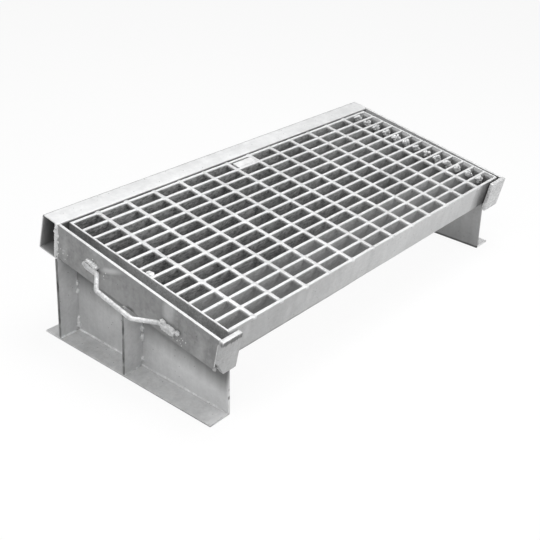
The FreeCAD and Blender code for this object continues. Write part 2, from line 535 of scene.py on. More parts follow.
@dataclass(frozen=True)
class ZincFinish:
    """Hot-dip zinc: cloudy grey with fine mottling, crystals, runs and small dark specks."""

    name: str
    slot: Slot
    pale: Colour
    dark: Colour
    metallic: float = 0.25
    smooth: float = 0.42
    rough: float = 0.62
    cloud_scale: float = 8.0
    mottle_scale: float = 48.0
    crystal_scale: float = 150.0
    run_stretch: Point = (40.0, 40.0, 6.0)
    speck_scale: float = 55.0
    speck_size: float = 0.04
    bump: float = 0.35
    patches: tuple[Patch, ...] = ()
    side_shades: tuple[Shelter, ...] = ()
    crystal_weight: ClassVar[float] = 0.08
    tone_range: ClassVar[Pair] = (0.38, 0.62)
    gloss_range: ClassVar[Pair] = (0.35, 0.65)
    speck_fade: ClassVar[float] = 2.5
    speck_strength: ClassVar[float] = 0.7
    dimming: ClassVar[float] = 0.12
    grain_fineness: ClassVar[float] = 5.0
    mottle_relief: ClassVar[float] = 2.0
    relief_depth: ClassVar[float] = 0.0006

    def material(self) -> bpy.types.Material:
        """The finish as a material, made the first time that it is asked for.

        The tone is a weighted sum of four patterns on Object coordinates: clouds, mottling, crystals and
        runs. It blends the dark colour into the pale one. Faces below the top have their own pair of colours,
        painted shade. Patches, which are marks and painted light and shade, lie on those faces, or on all
        where there are none. Specks and the skin's own painted shade darken it. The mottling also sets gloss
        and relief.

        Returns:
            The material.
        """
        found = bpy.data.materials.get(self.name)
        if found:
            return found
        made = bpy.data.materials.new(self.name)
        made.use_nodes = True
        web = NodeWeb(made.node_tree)
        shader = made.node_tree.nodes["Principled BSDF"]
        shader.inputs["Metallic"].default_value = self.metallic
        where = web.add("ShaderNodeTexCoord").outputs["Object"]
        clouds = web.noise(where, self.cloud_scale, CLOUDS)
        mottle = web.noise(where, self.mottle_scale, MOTTLE)
        crystal = web.add("ShaderNodeTexVoronoi", Vector=where, Scale=self.crystal_scale).outputs["Color"]
        stretched = web.add("ShaderNodeMapping", Vector=where, Scale=self.run_stretch).outputs[0]
        runs = web.noise(stretched, 1.0, RUNS)
        tone = web.math("MULTIPLY", clouds, CLOUDS.weight)
        for part, weight in ((mottle, MOTTLE.weight), (crystal, self.crystal_weight), (runs, RUNS.weight)):
            tone = web.math("MULTIPLY_ADD", part, weight, tone)
        tone = web.spread(tone, self.tone_range)
        colour = web.blend(tone, self.dark, self.pale)
        dim = scaled(self.dark, self.dimming)
        patched = [(self.amount(web, where, runs, patch), patch.colour) for patch in self.patches]
        # Painted shade on the faces below the top.
        for shelter in self.side_shades:
            colour = self.shade_sides(web, where, tone, shelter, colour, patched)
        speck = web.add("ShaderNodeTexVoronoi", Vector=where, Scale=self.speck_scale).outputs["Distance"]
        speck_edge = (self.speck_size, self.speck_size * self.speck_fade)
        colour = web.blend(web.spread(speck, speck_edge, (self.speck_strength, 0.0)), colour, dim)
        if not self.side_shades:
            colour = web.layered(colour, patched)
        shade = web.add("ShaderNodeAttribute")
        shade.attribute_name = SHADE
        web.feed(shader.inputs["Base Color"], web.blend(shade.outputs["Fac"], colour, dim))
        gloss = web.spread(mottle, self.gloss_range, (self.smooth, self.rough))
        web.feed(shader.inputs["Roughness"], gloss)
        grain = web.noise(where, self.mottle_scale * self.grain_fineness, GRAIN)
        height = web.math("MULTIPLY_ADD", mottle, self.mottle_relief, grain)
        relief = web.add("ShaderNodeBump", Strength=self.bump, Distance=self.relief_depth, Height=height)
        web.feed(shader.inputs["Normal"], relief.outputs[0])
        return made

    @staticmethod
    def shade_sides(web: "NodeWeb", where: object, tone: object, shelter: Shelter, colour: object,
                  patched: Sequence[tuple[object, Colour]]) -> object:
        """Turns to the painted shade's pair of greys on the faces that it covers, with the patches on them.

        Args:
            web: The material's nodes.
            where: Object coordinates.
            tone: The finish's tone between its dark and its pale colour.
            shading: The painted shade.
            colour: The colour of the open faces.
            patched: The amount and the colour of each patch.

        Returns:
            The colour of all the faces.
        """
        turned = (shelter.angle, 0, 0)
        local = web.add("ShaderNodeMapping", Vector=where, Location=shelter.origin, Rotation=turned)
        local.vector_type = "TEXTURE"
        parts = web.add("ShaderNodeSeparateXYZ", Vector=local.outputs[0]).outputs
        below = web.spread(parts["Z"], (-shelter.end, -shelter.start), (1.0, 0.0))
        behind = web.spread(parts["Y"], (shelter.front, shelter.behind))
        depth = web.spread(parts["Z"], (-shelter.far, -shelter.end), (1.0, 0.0))
        drawn = web.add("ShaderNodeMapping", Vector=where, Scale=shelter.stretch).outputs[0]
        speckle = web.noise(drawn, 1.0, SPECKLE)
        speckle = web.spread(speckle, shelter.speckle_range, (-shelter.grain, shelter.grain))
        tone = web.math("ADD", tone, speckle)
        near = web.blend(tone, shelter.dark, shelter.pale)
        far = web.blend(tone, scaled(shelter.dark, shelter.gain), scaled(shelter.pale, shelter.gain))
        shaded_colour = web.layered(web.blend(depth, near, far), patched)
        return web.blend(web.math("MULTIPLY", below, behind), colour, shaded_colour)

    @staticmethod
    def amount(web: "NodeWeb", where: object, ragged: object, patch: Patch) -> object:
        """How much of a patch lies at a place: full in an ellipsoid, fading out at a ragged edge.

        Args:
            web: The material's nodes.
            where: Object coordinates.
            ragged: The pattern that breaks up the edge.
            patch: The patch.

        Returns:
            The amount, from nothing to the patch's strength.
        """
        turned = (SLOPE.angle + math.radians(patch.turn_deg), 0, 0)
        form = {"Location": patch.centre, "Rotation": turned, "Scale": patch.reach}
        local = web.add("ShaderNodeMapping", Vector=where, **form)
        local.vector_type = "TEXTURE"
        distance = web.add("ShaderNodeVectorMath", Vector=local.outputs[0])
        distance.operation = "LENGTH"
        edge = web.math("MULTIPLY_ADD", ragged, patch.ragged, distance.outputs["Value"])
        outer = patch.full + patch.ragged_middle * patch.ragged
        return web.spread(edge, (outer - patch.soft, outer), (patch.strength, 0.0))


class NodeWeb:
    """Short ways to add nodes to a material."""

    mix_share: int = 0
    mix_colours: tuple[int, int] = (6, 7)
    mix_result: int = 2

    def __init__(self, tree: bpy.types.NodeTree) -> None:
        """Keeps the node tree that is built on."""
        self.tree = tree

    def add(self, kind: str, **inputs: object) -> bpy.types.Node:
        """Adds a node and sets or links its inputs by name.

        Args:
            kind: The node's type.
            inputs: A value or another node's output for each named input.

        Returns:
            The node.
        """
        node = self.tree.nodes.new(kind)
        for name, value in inputs.items():
            self.feed(node.inputs[name], value)
        return node

    def feed(self, socket: bpy.types.NodeSocket, value: object) -> None:
        """Links an output to a socket, or sets the socket's own value.

        Args:
            socket: The socket.
            value: Another node's output, or a value. A colour may come without its fourth channel.
        """
        if isinstance(value, bpy.types.NodeSocket):
            self.tree.links.new(value, socket)
        else:
            socket.default_value = (*value, 1.0) if socket.type == "RGBA" and len(value) == 3 else value

    def noise(self, where: object, scale: float, pattern: Pattern) -> bpy.types.NodeSocket:
        """A noise pattern's grey value."""
        form = {"Detail": pattern.detail, "Roughness": pattern.roughness}
        return self.add("ShaderNodeTexNoise", Vector=where, Scale=scale, **form).outputs[0]

    def math(self, operation: str, *values: object) -> bpy.types.NodeSocket:
        """A Math node on one to three values.

        Args:
            operation: What it does.
            values: Its values or other nodes' outputs.

        Returns:
            Its result.
        """
        node = self.tree.nodes.new("ShaderNodeMath")
        node.operation = operation
        for socket, value in zip(node.inputs, values):
            self.feed(socket, value)
        return node.outputs[0]

    def spread(self, value: object, source: Pair, target: Pair = (0.0, 1.0)) -> bpy.types.NodeSocket:
        """Maps a range of values onto another and clamps it.

        Args:
            value: The value.
            source: The range that it comes from.
            target: The range that it goes to.

        Returns:
            The mapped value.
        """
        node = self.tree.nodes.new("ShaderNodeMapRange")
        for socket, given in zip(node.inputs, (value, *source, *target)):
            self.feed(socket, given)
        return node.outputs[0]

    def blend(self, share: object, first: object, second: object) -> bpy.types.NodeSocket:
        """A colour between two colours.

        Args:
            share: How far it lies towards the second.
            first: The first colour.
            second: The second colour.

        Returns:
            The blended colour.
        """
        node = self.tree.nodes.new("ShaderNodeMix")
        node.data_type = "RGBA"
        self.feed(node.inputs[self.mix_share], share)
        for index, colour in zip(self.mix_colours, (first, second)):
            self.feed(node.inputs[index], colour)
        return node.outputs[self.mix_result]

    def layered(self, colour: object, layers: Sequence[tuple[object, Colour]]) -> object:
        """A colour with others laid over it.

        Args:
            colour: The colour at the bottom.
            layers: The amount and the colour of each layer, from the lowest up.

        Returns:
            The colour at the top.
        """
        for share, layer in layers:
            colour = self.blend(share, colour, layer)
        return colour


FRONT_V = -SLOPE.bar_half
GRATE_TOP = SLOPE.point(0, 0, 0)
# Painted shade: the front bar's face, the end bars' faces and the faces in the cells are darker than the
# tops, which keep the paler greys as lit; in the cells they darken further down.
FRONT_FACE = Shelter(grey(0.82), grey(0.58), GRATE_TOP, SLOPE.angle, grain=0.35)
END_FACE = Shelter(grey(0.5), grey(0.26), GRATE_TOP, SLOPE.angle, 0.0012, 0.003, grain=0.6)
IN_CELLS = Shelter(grey(0.5), grey(0.16), GRATE_TOP, SLOPE.angle, start=0.001, end=0.006, front=-0.0036,
                   behind=-0.002, far=0.05, gain=0.75, grain=0.9)
# Darker over the left part of the front bar's face, and most beside the right stop.
FRONT_BAR_DARKENING = (
    Patch(SLOPE.point(-0.66, FRONT_V, -0.04), (0.55, 0.03, 0.5), 0.22, ragged=0.3),
    Patch(SLOPE.point(0.64, FRONT_V, -0.06), (0.125, 0.03, 0.3), 0.8, soft=0.5, ragged=0.4),
    Patch(SLOPE.point(0.64, FRONT_V, -0.07), (0.1, 0.03, 0.15), 0.8, soft=0.5, ragged=0.7),
)
FLECKS = tuple(
    Patch(SLOPE.point(u, FRONT_V, n), (along, 0.03, up), much, SMEAR_AND_LIGHT)
    for u, n, along, up, much in (
        (-0.425, -0.05, 0.012, 0.022, 0.45),
        (-0.586, -0.034, 0.012, 0.03, 0.4),
        (-0.385, -0.031, 0.02, 0.025, 0.3),
        (-0.345, -0.04, 0.015, 0.03, 0.4),
        (0.1, -0.06, 0.03, 0.03, 0.25),
    )
)
LOWER_EDGE = (Patch(SLOPE.point(-0.45, FRONT_V, -0.088), (0.6, 0.03, 0.008), 0.5, ragged=0.6),)
# Painted light: paler faces in the cells towards the right end and along the front rows.
CELL_LIGHT = (
    Patch(SLOPE.point(0.75, 0.3, -0.02), (0.8, 2.0, 0.5), 0.38, PAINTED_LIGHT, soft=0.9, ragged=0.3),
    Patch(SLOPE.point(0.0, 0.06, -0.02), (5.0, 0.09, 0.2), 0.45, PAINTED_LIGHT, soft=0.3, ragged=0.2),
)
# Painted shade on the tube's front face in the gap behind the grating, and a darker line along its rear top
# edge.
TUBE_LINES = (
    Patch(SLOPE.point(0.0, 0.542, -0.04), (5.0, 0.004, 0.05), 0.85, soft=0.3, ragged=0.2),
    Patch(SLOPE.point(0.0, 0.598, 0.0), (5.0, 0.0035, 0.008), 0.5, soft=0.4, ragged=0.3),
)
# On the right end bar's inner face: painted shade lower down and painted light near the top. On the left end
# bar's outer face: darker towards the rear.
END_PATCHES = (
    Patch(SLOPE.point(0.6525, 0.27, -0.035), (0.0025, 1.2, 0.024), 0.6, soft=0.3, ragged=0.6),
    Patch(SLOPE.point(0.6525, 0.27, 0.0), (0.0025, 1.2, 0.014), 0.6, SMEAR_AND_LIGHT, soft=0.3, ragged=0.6),
    Patch(SLOPE.point(-0.658, 0.54, -0.02), (0.02, 0.32, 0.2), 0.4, soft=0.8, ragged=0.3),
)
# Painted shade in the cells near the right end.
END_CELL_SHADE = (Patch(SLOPE.point(0.61, 0.29, -0.02), (0.08, 0.285, 0.2), 0.42, soft=0.3, ragged=0.3),)
BAR_ZINC = ZincFinish("bar_zinc", Slot.GRATE, grey(0.88), grey(0.72), side_shades=(FRONT_FACE, IN_CELLS),
                      patches=CELL_LIGHT + END_CELL_SHADE + FLECKS + LOWER_EDGE + FRONT_BAR_DARKENING)
END_ZINC = ZincFinish("end_zinc", Slot.GRATE, grey(0.88), grey(0.72), side_shades=(END_FACE,),
                      patches=END_PATCHES)
ROD_ZINC = ZincFinish("rod_zinc", Slot.GRATE, grey(0.82), grey(0.58), mottle_scale=130.0,
                      side_shades=(IN_CELLS,), patches=CELL_LIGHT)
TUBE_ZINC = ZincFinish("tube_zinc", Slot.FRAME, grey(0.84), grey(0.70), run_stretch=(5.0, 60.0, 60.0),
                       patches=TUBE_LINES)
ANCHOR_ZINC = ZincFinish("anchor_zinc", Slot.BAR, grey(0.96), grey(0.38), mottle_scale=150.0, bump=0.9)
WELD_ZINC = ZincFinish("weld_zinc", Slot.FRAME, grey(0.98), grey(0.58), metallic=0.3, smooth=0.3,
                       rough=0.55, mottle_scale=130.0, bump=0.9)
END_WELD_ZINC = ZincFinish("end_weld_zinc", Slot.GRATE, grey(0.98), grey(0.6), mottle_scale=160.0, bump=0.9)


def add_piece(name: str, parts: Sequence[Surface], finish: ZincFinish, stands_for: Sequence[str] = (),
              sharp_deg: float = 38.0) -> bpy.types.Object:
    """Makes a piece of the object from skins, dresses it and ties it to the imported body.

    Args:
        name: The piece's name.
        parts: Its skins.
        finish: What it is coated with.
        stands_for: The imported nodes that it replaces.
        sharp_deg: Edges that turn by more than this stay sharp.

    Returns:
        The new object.
    """
    skin = Surface.joined(parts)
    mesh = bpy.data.meshes.new(name)
    mesh.from_pydata(skin.vertices.tolist(), [], skin.quads.tolist() + [cap.tolist() for cap in skin.caps])
    mesh.polygons.foreach_set("use_smooth", np.ones(len(mesh.polygons), bool))
    mesh.set_sharp_from_angle(angle=math.radians(sharp_deg))
    mesh.attributes.new(SHADE, "FLOAT", "POINT").data.foreach_set("value", skin.shade.astype(np.float32))
    mesh.materials.append(finish.material())
    mesh.update()
    piece = bpy.data.objects.new(name, mesh)
    bpy.context.scene.collection.objects.link(piece)
    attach(piece, BODY)
    if stands_for:
        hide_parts(*stands_for)
    LOG.info("%s: %d faces", name, len(mesh.polygons))
    return piece


# Welds


@dataclass(frozen=True)
class Bead:
    """The form of a weld bead: the size of its section, and the length and swell of its ripples."""

    width: float = 0.008
    height: float = 0.0032
    ripple: float = 0.0052
    swell: float = 0.17
    points: int = 10


@dataclass(frozen=True)
class WeldSeam:
    """A rippled weld bead along a straight seam."""

    start: Array
    end: Array
    outward: Array
    across: Array
    seed: int
    bead: Bead = Bead()
    ripple_parts: ClassVar[int] = 4
    fewest_sections: ClassVar[int] = 9
    lag: ClassVar[float] = 0.45
    steepness: ClassVar[float] = 0.6
    knot_gap: ClassVar[float] = 0.012
    blunt_least: ClassVar[float] = 2.5
    blunt_gain: ClassVar[float] = 10.0
    long_run: ClassVar[float] = 0.1
    tip: ClassVar[float] = 0.02
    wide_change: ClassVar[float] = 0.18
    tall_change: ClassVar[float] = 0.15
    wander: ClassVar[float] = 0.1

    def build(self) -> Surface:
        """The bead's skin.

        Its section is an ellipse that lies half in the metal. Along the seam it swells in ripples, each a
        steep rise and a slow fall that lags behind at the bead's edges, and its ends taper off, more
        slowly on a short bead.

        Returns:
            The skin.
        """
        bead = self.bead
        run = np.asarray(self.end, float) - np.asarray(self.start, float)
        length = float(np.linalg.norm(run))
        count = max(self.fewest_sections, int(round(length / bead.ripple * self.ripple_parts)) + 1)
        share = np.linspace(0, 1, count)[:, None]
        turn = turns(bead.points)[None]
        lag = self.lag * np.cos(turn) ** 2
        phase = (share * length / bead.ripple + lag) % 1.0
        swell = 1 + bead.swell * np.sin(math.pi * phase ** self.steepness)
        knots = max(2, int(length / self.knot_gap))
        wander = uneven(count, knots, self.seed)[:, None]
        fat = uneven(count, knots, self.seed + 1)[:, None]
        blunt = self.blunt_least + self.blunt_gain * min(1.0, length / self.long_run)
        taper = np.sqrt(np.clip(1 - np.abs(2 * share - 1) ** blunt, self.tip, 1))
        wide = bead.width / 2 * taper * (1 + self.wide_change * fat) * swell * np.cos(turn)
        wide = wide + self.wander * bead.width * wander
        tall = bead.height * taper * (1 + self.tall_change * fat) * swell * np.sin(turn)
        line = self.start + share[..., None] * run
        sideways = line + wide[..., None] * unit(self.across)
        return Surface.loft(sideways + tall[..., None] * unit(self.outward))


# Grating


@dataclass(frozen=True)
class LumpField:
    """Where weld lumps lie on a bearing bar's front face near one end bar, and how large they are.

    Out is the distance from the end bar and top the depth of the highest lumps. Lean is how much nearer
    to the end bar they lie for each metre that they drop.
    """

    out: float
    lean: float
    top: float
    count: int = 26
    drop: float = 0.026
    least_shift: Point = (-0.016, -0.003, 0)
    most_shift: Point = (0.016, 0, 0)
    size: Pair = (0.004, 0.007)
    form: Point = (1.2, 0.8, 0.8)
    sunk: float = 0.002


END_LUMPS = {Side.LEFT: LumpField(0.012, 0.0, 0.040), Side.RIGHT: LumpField(0.050, 1.2, 0.005)}
MOUND_RINGS = np.array([(1.0, -0.006), (0.97, -0.0028), (0.86, -0.0009), (0.62, 0.0001), (0.3, 0.0004)])


@dataclass
class BarGrating:
    """Bearing bars, end bars and cross rods, welded into one panel."""

    bar_count: int = 14
    bar_pitch: float = 0.041
    bar_thickness: float = 0.008
    bar_depth: float = 0.087
    bar_edge: float = 0.0016
    bar_sections: int = 121
    bar_knots: tuple[int, int, int] = (9, 60, 45)
    end_thickness: float = 0.005
    end_edge: float = 0.0012
    end_sections: int = 40
    rod_count: int = 12
    rod_pitch: float = 0.1
    rod_width: float = 0.012
    rod_depth: float = 0.010
    rod_edge: float = 0.0025
    rod_sections: int = 105
    rod_knots: tuple[int, int, int] = (8, 52, 40)
    rod_swell: float = 1.6
    first_rod: float = 0.089
    rim: float = 0.001
    bar_drop: float = 0.0003
    bar_sway: float = 0.0005
    zinc_swell: float = 0.0003
    weld_reach: Pair = (0.0105, 0.0078)
    weld_size: Pair = (0.82, 1.12)
    weld_power: float = 0.75
    weld_points: int = 12
    row_seeds: int = 100

    def __post_init__(self) -> None:
        """Takes the panel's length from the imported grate."""
        self.end_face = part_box("grate")[1].x
        self.inner_end = self.end_face - self.end_thickness
        self.end_line = self.end_face - self.end_thickness / 2
        self.width = (self.bar_count - 1) * self.bar_pitch

    def rod_u(self, index: Array) -> Array:
        """Where the rods' centre lines lie along X."""
        return -self.end_line + self.first_rod + np.asarray(index) * self.rod_pitch

    def bar(self, row: int) -> Surface:
        """One bearing bar: a rounded upright section along X that sways and swells as dipped bars do.

        Args:
            row: The bar's number from the front.

        Returns:
            Its skin.
        """
        half = self.bar_thickness / 2
        outline = rectangle((-half, -self.bar_depth), (half, -self.bar_drop), self.bar_edge)
        u = np.linspace(-self.inner_end, self.inner_end, self.bar_sections)
        sway_knots, swell_knots, lift_knots = self.bar_knots
        sway = self.bar_sway * uneven(len(u), sway_knots, Seed.BAR_SWAY + row)
        swell = 1 + self.zinc_swell / half * uneven(len(u), swell_knots, Seed.BAR_SWELL + row)
        lift = self.zinc_swell * uneven(len(u), lift_knots, Seed.BAR_LIFT + row)
        upper = (outline[:, 1] > -self.bar_depth / 2).astype(float)
        v = row * self.bar_pitch + sway[:, None] + swell[:, None] * outline[:, 0]
        n = outline[:, 1] + np.minimum(lift, 0)[:, None] * upper
        return Surface.loft(SLOPE.place(u[:, None], v, n))

    def rod(self, column: int) -> Surface:
        """One cross rod: a flat-topped section with round shoulders, from the front bar to the rear bar.

        Args:
            column: The rod's number from the left.

        Returns:
            Its skin.
        """
        half = self.rod_width / 2
        outline = rectangle((-half, -self.rod_depth), (half, 0), self.rod_edge)
        reach = self.bar_thickness / 2 - self.bar_edge
        flat, along = prism(outline, self.width + 2 * reach, self.rim, self.rod_sections)
        count = len(along)
        sway_knots, swell_knots, sink_knots = self.rod_knots
        sway = self.bar_sway * uneven(count, sway_knots, Seed.ROD_SWAY + column)
        waves = uneven(count, swell_knots, Seed.ROD_SWELL + column)
        swell = 1 + self.rod_swell * self.zinc_swell / half * waves
        sink = self.zinc_swell * (uneven(count, sink_knots, Seed.ROD_SINK + column) - 1) / 2
        u = self.rod_u(column) + sway[:, None] + swell[:, None] * flat[..., 0]
        return Surface.loft(SLOPE.place(u, along - reach, flat[..., 1] + sink[:, None]))

    def end_bar(self, side: Side) -> Surface:
        """The flat that closes one end of the panel.

        Args:
            side: Which end.

        Returns:
            Its skin.
        """
        outline = rectangle((self.inner_end, -self.bar_depth), (self.end_face, 0), self.end_edge)
        half = self.bar_thickness / 2
        flat, along = prism(outline, self.width + 2 * half, self.rim, self.end_sections)
        return Surface.loft(SLOPE.place(side.value * flat[..., 0], along - half, flat[..., 1]))

    def crossing_welds(self) -> list[Surface]:
        """The squeezed-out metal where rods and bars cross: low mounds with a squarish footprint.

        A mound's rings follow a superellipse, and ring by ring it narrows and rises from inside the bar
        to just above it.

        Returns:
            One skin for each crossing.
        """
        rows, columns = np.meshgrid(np.arange(self.bar_count), np.arange(self.rod_count), indexing="ij")
        u, v = self.rod_u(columns).ravel(), (rows * self.bar_pitch).ravel()
        sizes = np.random.default_rng(Seed.MOUNDS).uniform(*self.weld_size, (len(u), 2))
        turn = turns(self.weld_points)
        round_u = squared(np.cos(turn), self.weld_power)
        round_v = squared(np.sin(turn), self.weld_power)
        shrink, rise = MOUND_RINGS.T[..., None]
        mounds = []
        for middle_u, middle_v, (size_u, size_v) in zip(u, v, sizes):
            along = middle_u + size_u * self.weld_reach[0] * shrink * round_u
            across = middle_v + size_v * self.weld_reach[1] * shrink * round_v
            mounds.append(Surface.loft(SLOPE.place(along, across, rise)))
        return mounds

    def end_welds(self) -> list[Surface]:
        """Flat lumps of weld on the bearing bars' front faces near the end bars.

        At the right they run down slantwise into the corner, and at the left they lie low in the corner.

        Returns:
            One skin for each lump.
        """
        draw = np.random.default_rng(Seed.END_LUMPS)
        face = self.bar_thickness / 2
        lumps = []
        for side in Side:
            field = END_LUMPS[side]
            for row in range(1, self.bar_count):
                for i in range(field.count):
                    drop = draw.uniform(0, field.drop)
                    shift = draw.uniform(field.least_shift, field.most_shift)
                    reach = draw.uniform(*field.size, 3) * np.array(field.form)
                    u = self.inner_end - field.out + field.lean * drop
                    centre = np.array([u, row * self.bar_pitch - face, -field.top - drop]) + shift
                    places = lump(centre, reach, self.row_seeds * row + i + side.value, *SMALL_LUMP)
                    along = side.value * np.minimum(places[..., 0], self.inner_end + field.sunk)
                    lumps.append(Surface.loft(SLOPE.place(along, places[..., 1], places[..., 2])))
        return lumps

    def build(self) -> None:
        """Makes the bars, the rods and the end welds.

        Bars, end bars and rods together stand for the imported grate.
        """
        add_piece("bearing_bars", [self.bar(row) for row in range(self.bar_count)], BAR_ZINC, ["grate"])
        add_piece("end_bars", [self.end_bar(side) for side in Side], END_ZINC, ["grate"])
        rods = [self.rod(column) for column in range(self.rod_count)] + self.crossing_welds()
        add_piece("cross_rods", rods, ROD_ZINC, ["grate"])
        add_piece("end_bar_welds", self.end_welds(), END_WELD_ZINC)


@dataclass
class LockPlate:
    """The plate welded in a rear cell of the grating."""

    grating: BarGrating
    cell: int = 5
    gap_left: float = 0.007
    gap_rear: float = 0.006
    thickness: float = 0.008
    corner: float = 0.002
    edge: float = 0.0012
    bead: Bead = Bead(0.007, 0.001)

    def build(self) -> None:
        """Makes the plate and the beads along its right and front edges."""
        grating = self.grating
        low_u = float(grating.rod_u(self.cell)) + grating.rod_width / 2 + self.gap_left
        high_u = float(grating.rod_u(self.cell + 1)) - grating.rod_width / 2
        low_v = grating.width - grating.bar_pitch + grating.bar_thickness / 2
        high_v = grating.width - grating.bar_thickness / 2 - self.gap_rear
        outline = rectangle((low_u, low_v), (high_u, high_v), self.corner)
        flat, along = prism(outline, self.thickness, self.edge)
        plate = Surface.loft(SLOPE.place(flat[..., 0], flat[..., 1], -along))
        add_piece("rear_lock_plate", [plate], BAR_ZINC, ["lock_plate"])
        up = SLOPE.direction(0.0, 0.0, 1.0)
        uphill = SLOPE.direction(0.0, 1.0, 0.0)
        along_kerb = np.array([1.0, 0.0, 0.0])
        left, middle = SLOPE.place(low_u, low_v, 0.0), SLOPE.place(high_u, low_v, 0.0)
        rear = SLOPE.place(high_u, high_v, 0.0)
        front_bead = WeldSeam(left, middle, up, uphill, Seed.LOCK_FRONT, self.bead)
        right_bead = WeldSeam(middle, rear, up, along_kerb, Seed.LOCK_RIGHT, self.bead)
        add_piece("lock_plate_welds", [front_bead.build(), right_bead.build()], ROD_ZINC)


@dataclass
class EndLug:
    """The lump welded into the corner between the left end bar and a bearing bar."""

    rings: int = 14
    points: int = 20
    pole: float = 0.49
    squareness: float = 0.55
    fill: float = 0.94
    slow_wave: float = 0.05
    fast_wave: float = 0.03

    def build(self) -> None:
        """Makes the lug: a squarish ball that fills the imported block, roughened by waves."""
        low, high = (np.array(corner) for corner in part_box("end_lug"))
        block, tilt, turn = ball(self.rings, self.points, self.pole, self.squareness)
        rough = self.fill + self.slow_wave * np.sin(3 * turn + 4 * tilt)
        rough = rough + self.fast_wave * np.sin(7 * turn - 5 * tilt)
        skin = (low + high) / 2 + block * rough[..., None] * (high - low) / 2
        add_piece("left_end_lug", [Surface.loft(skin)], WELD_ZINC, ["end_lug"])


# Frame


@dataclass
class KerbTube:
    """The hollow section along the rear, open at both ends, its rear wall leaning out towards the base."""

    front: float = 0.542
    width: float = 0.058
    base_width: float = 0.065
    rise: float = 0.0015
    depth: float = 0.1025
    wall: float = 0.004
    corner: float = 0.005
    corner_steps: int = 5
    rim: float = 0.001
    rim_steps: int = 3
    sections: int = 90
    inside_start: float = 0.2
    inner_shade_start: float = 0.55
    inner_shade_reach: float = 0.05
    inner_shade_most: float = 0.98

    @property
    def bottom(self) -> float:
        """Height of the underside, square to the slope."""
        return self.rise - self.depth

    def build(self) -> None:
        """Makes the tube.

        Its section goes along the outside, round one rim, back along the inside and round the other rim.
        The inside is painted darker, as shade, the more so the further it lies from the open end.
        """
        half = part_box("kerb_tube")[1].x
        corners = [
            (self.front, self.bottom),
            (self.front + self.base_width, self.bottom),
            (self.front + self.width, self.rise),
            (self.front, self.rise),
        ]
        outline = rounded_outline(corners, [self.corner] * 4, self.corner_steps)
        turn = np.linspace(0, math.pi / 2, self.rim_steps + 1)
        out_x = np.linspace(-half + self.rim, half - self.rim, self.sections)
        arc_x = half - self.rim + self.rim * np.sin(turn[1:])
        arc_in = self.rim * (1 - np.cos(turn[1:]))
        rim_x = np.concatenate([arc_x, arc_x[::-1]])
        rim_in = np.concatenate([arc_in, self.wall - arc_in[::-1]])
        x = np.concatenate([out_x, rim_x, out_x[::-1], -rim_x])
        flat_run = np.zeros(len(out_x))
        depth_in = np.concatenate([flat_run, rim_in, flat_run + self.wall, rim_in[::-1]])
        flat = outline + inward(outline) * depth_in[:, None, None]
        # Painted shade inside the tube, more of it further from the open ends.
        inside = np.clip(depth_in / self.wall - self.inside_start, 0, 1)
        shade = inside * np.clip(self.inner_shade_start + (half - np.abs(x)) / self.inner_shade_reach, 0, self.inner_shade_most)
        skin = Surface.loft(SLOPE.place(x[:, None], flat[..., 0], flat[..., 1]), ring=True, shade=shade)
        add_piece("kerb_hollow_section", [skin], TUBE_ZINC, ["kerb_tube"])


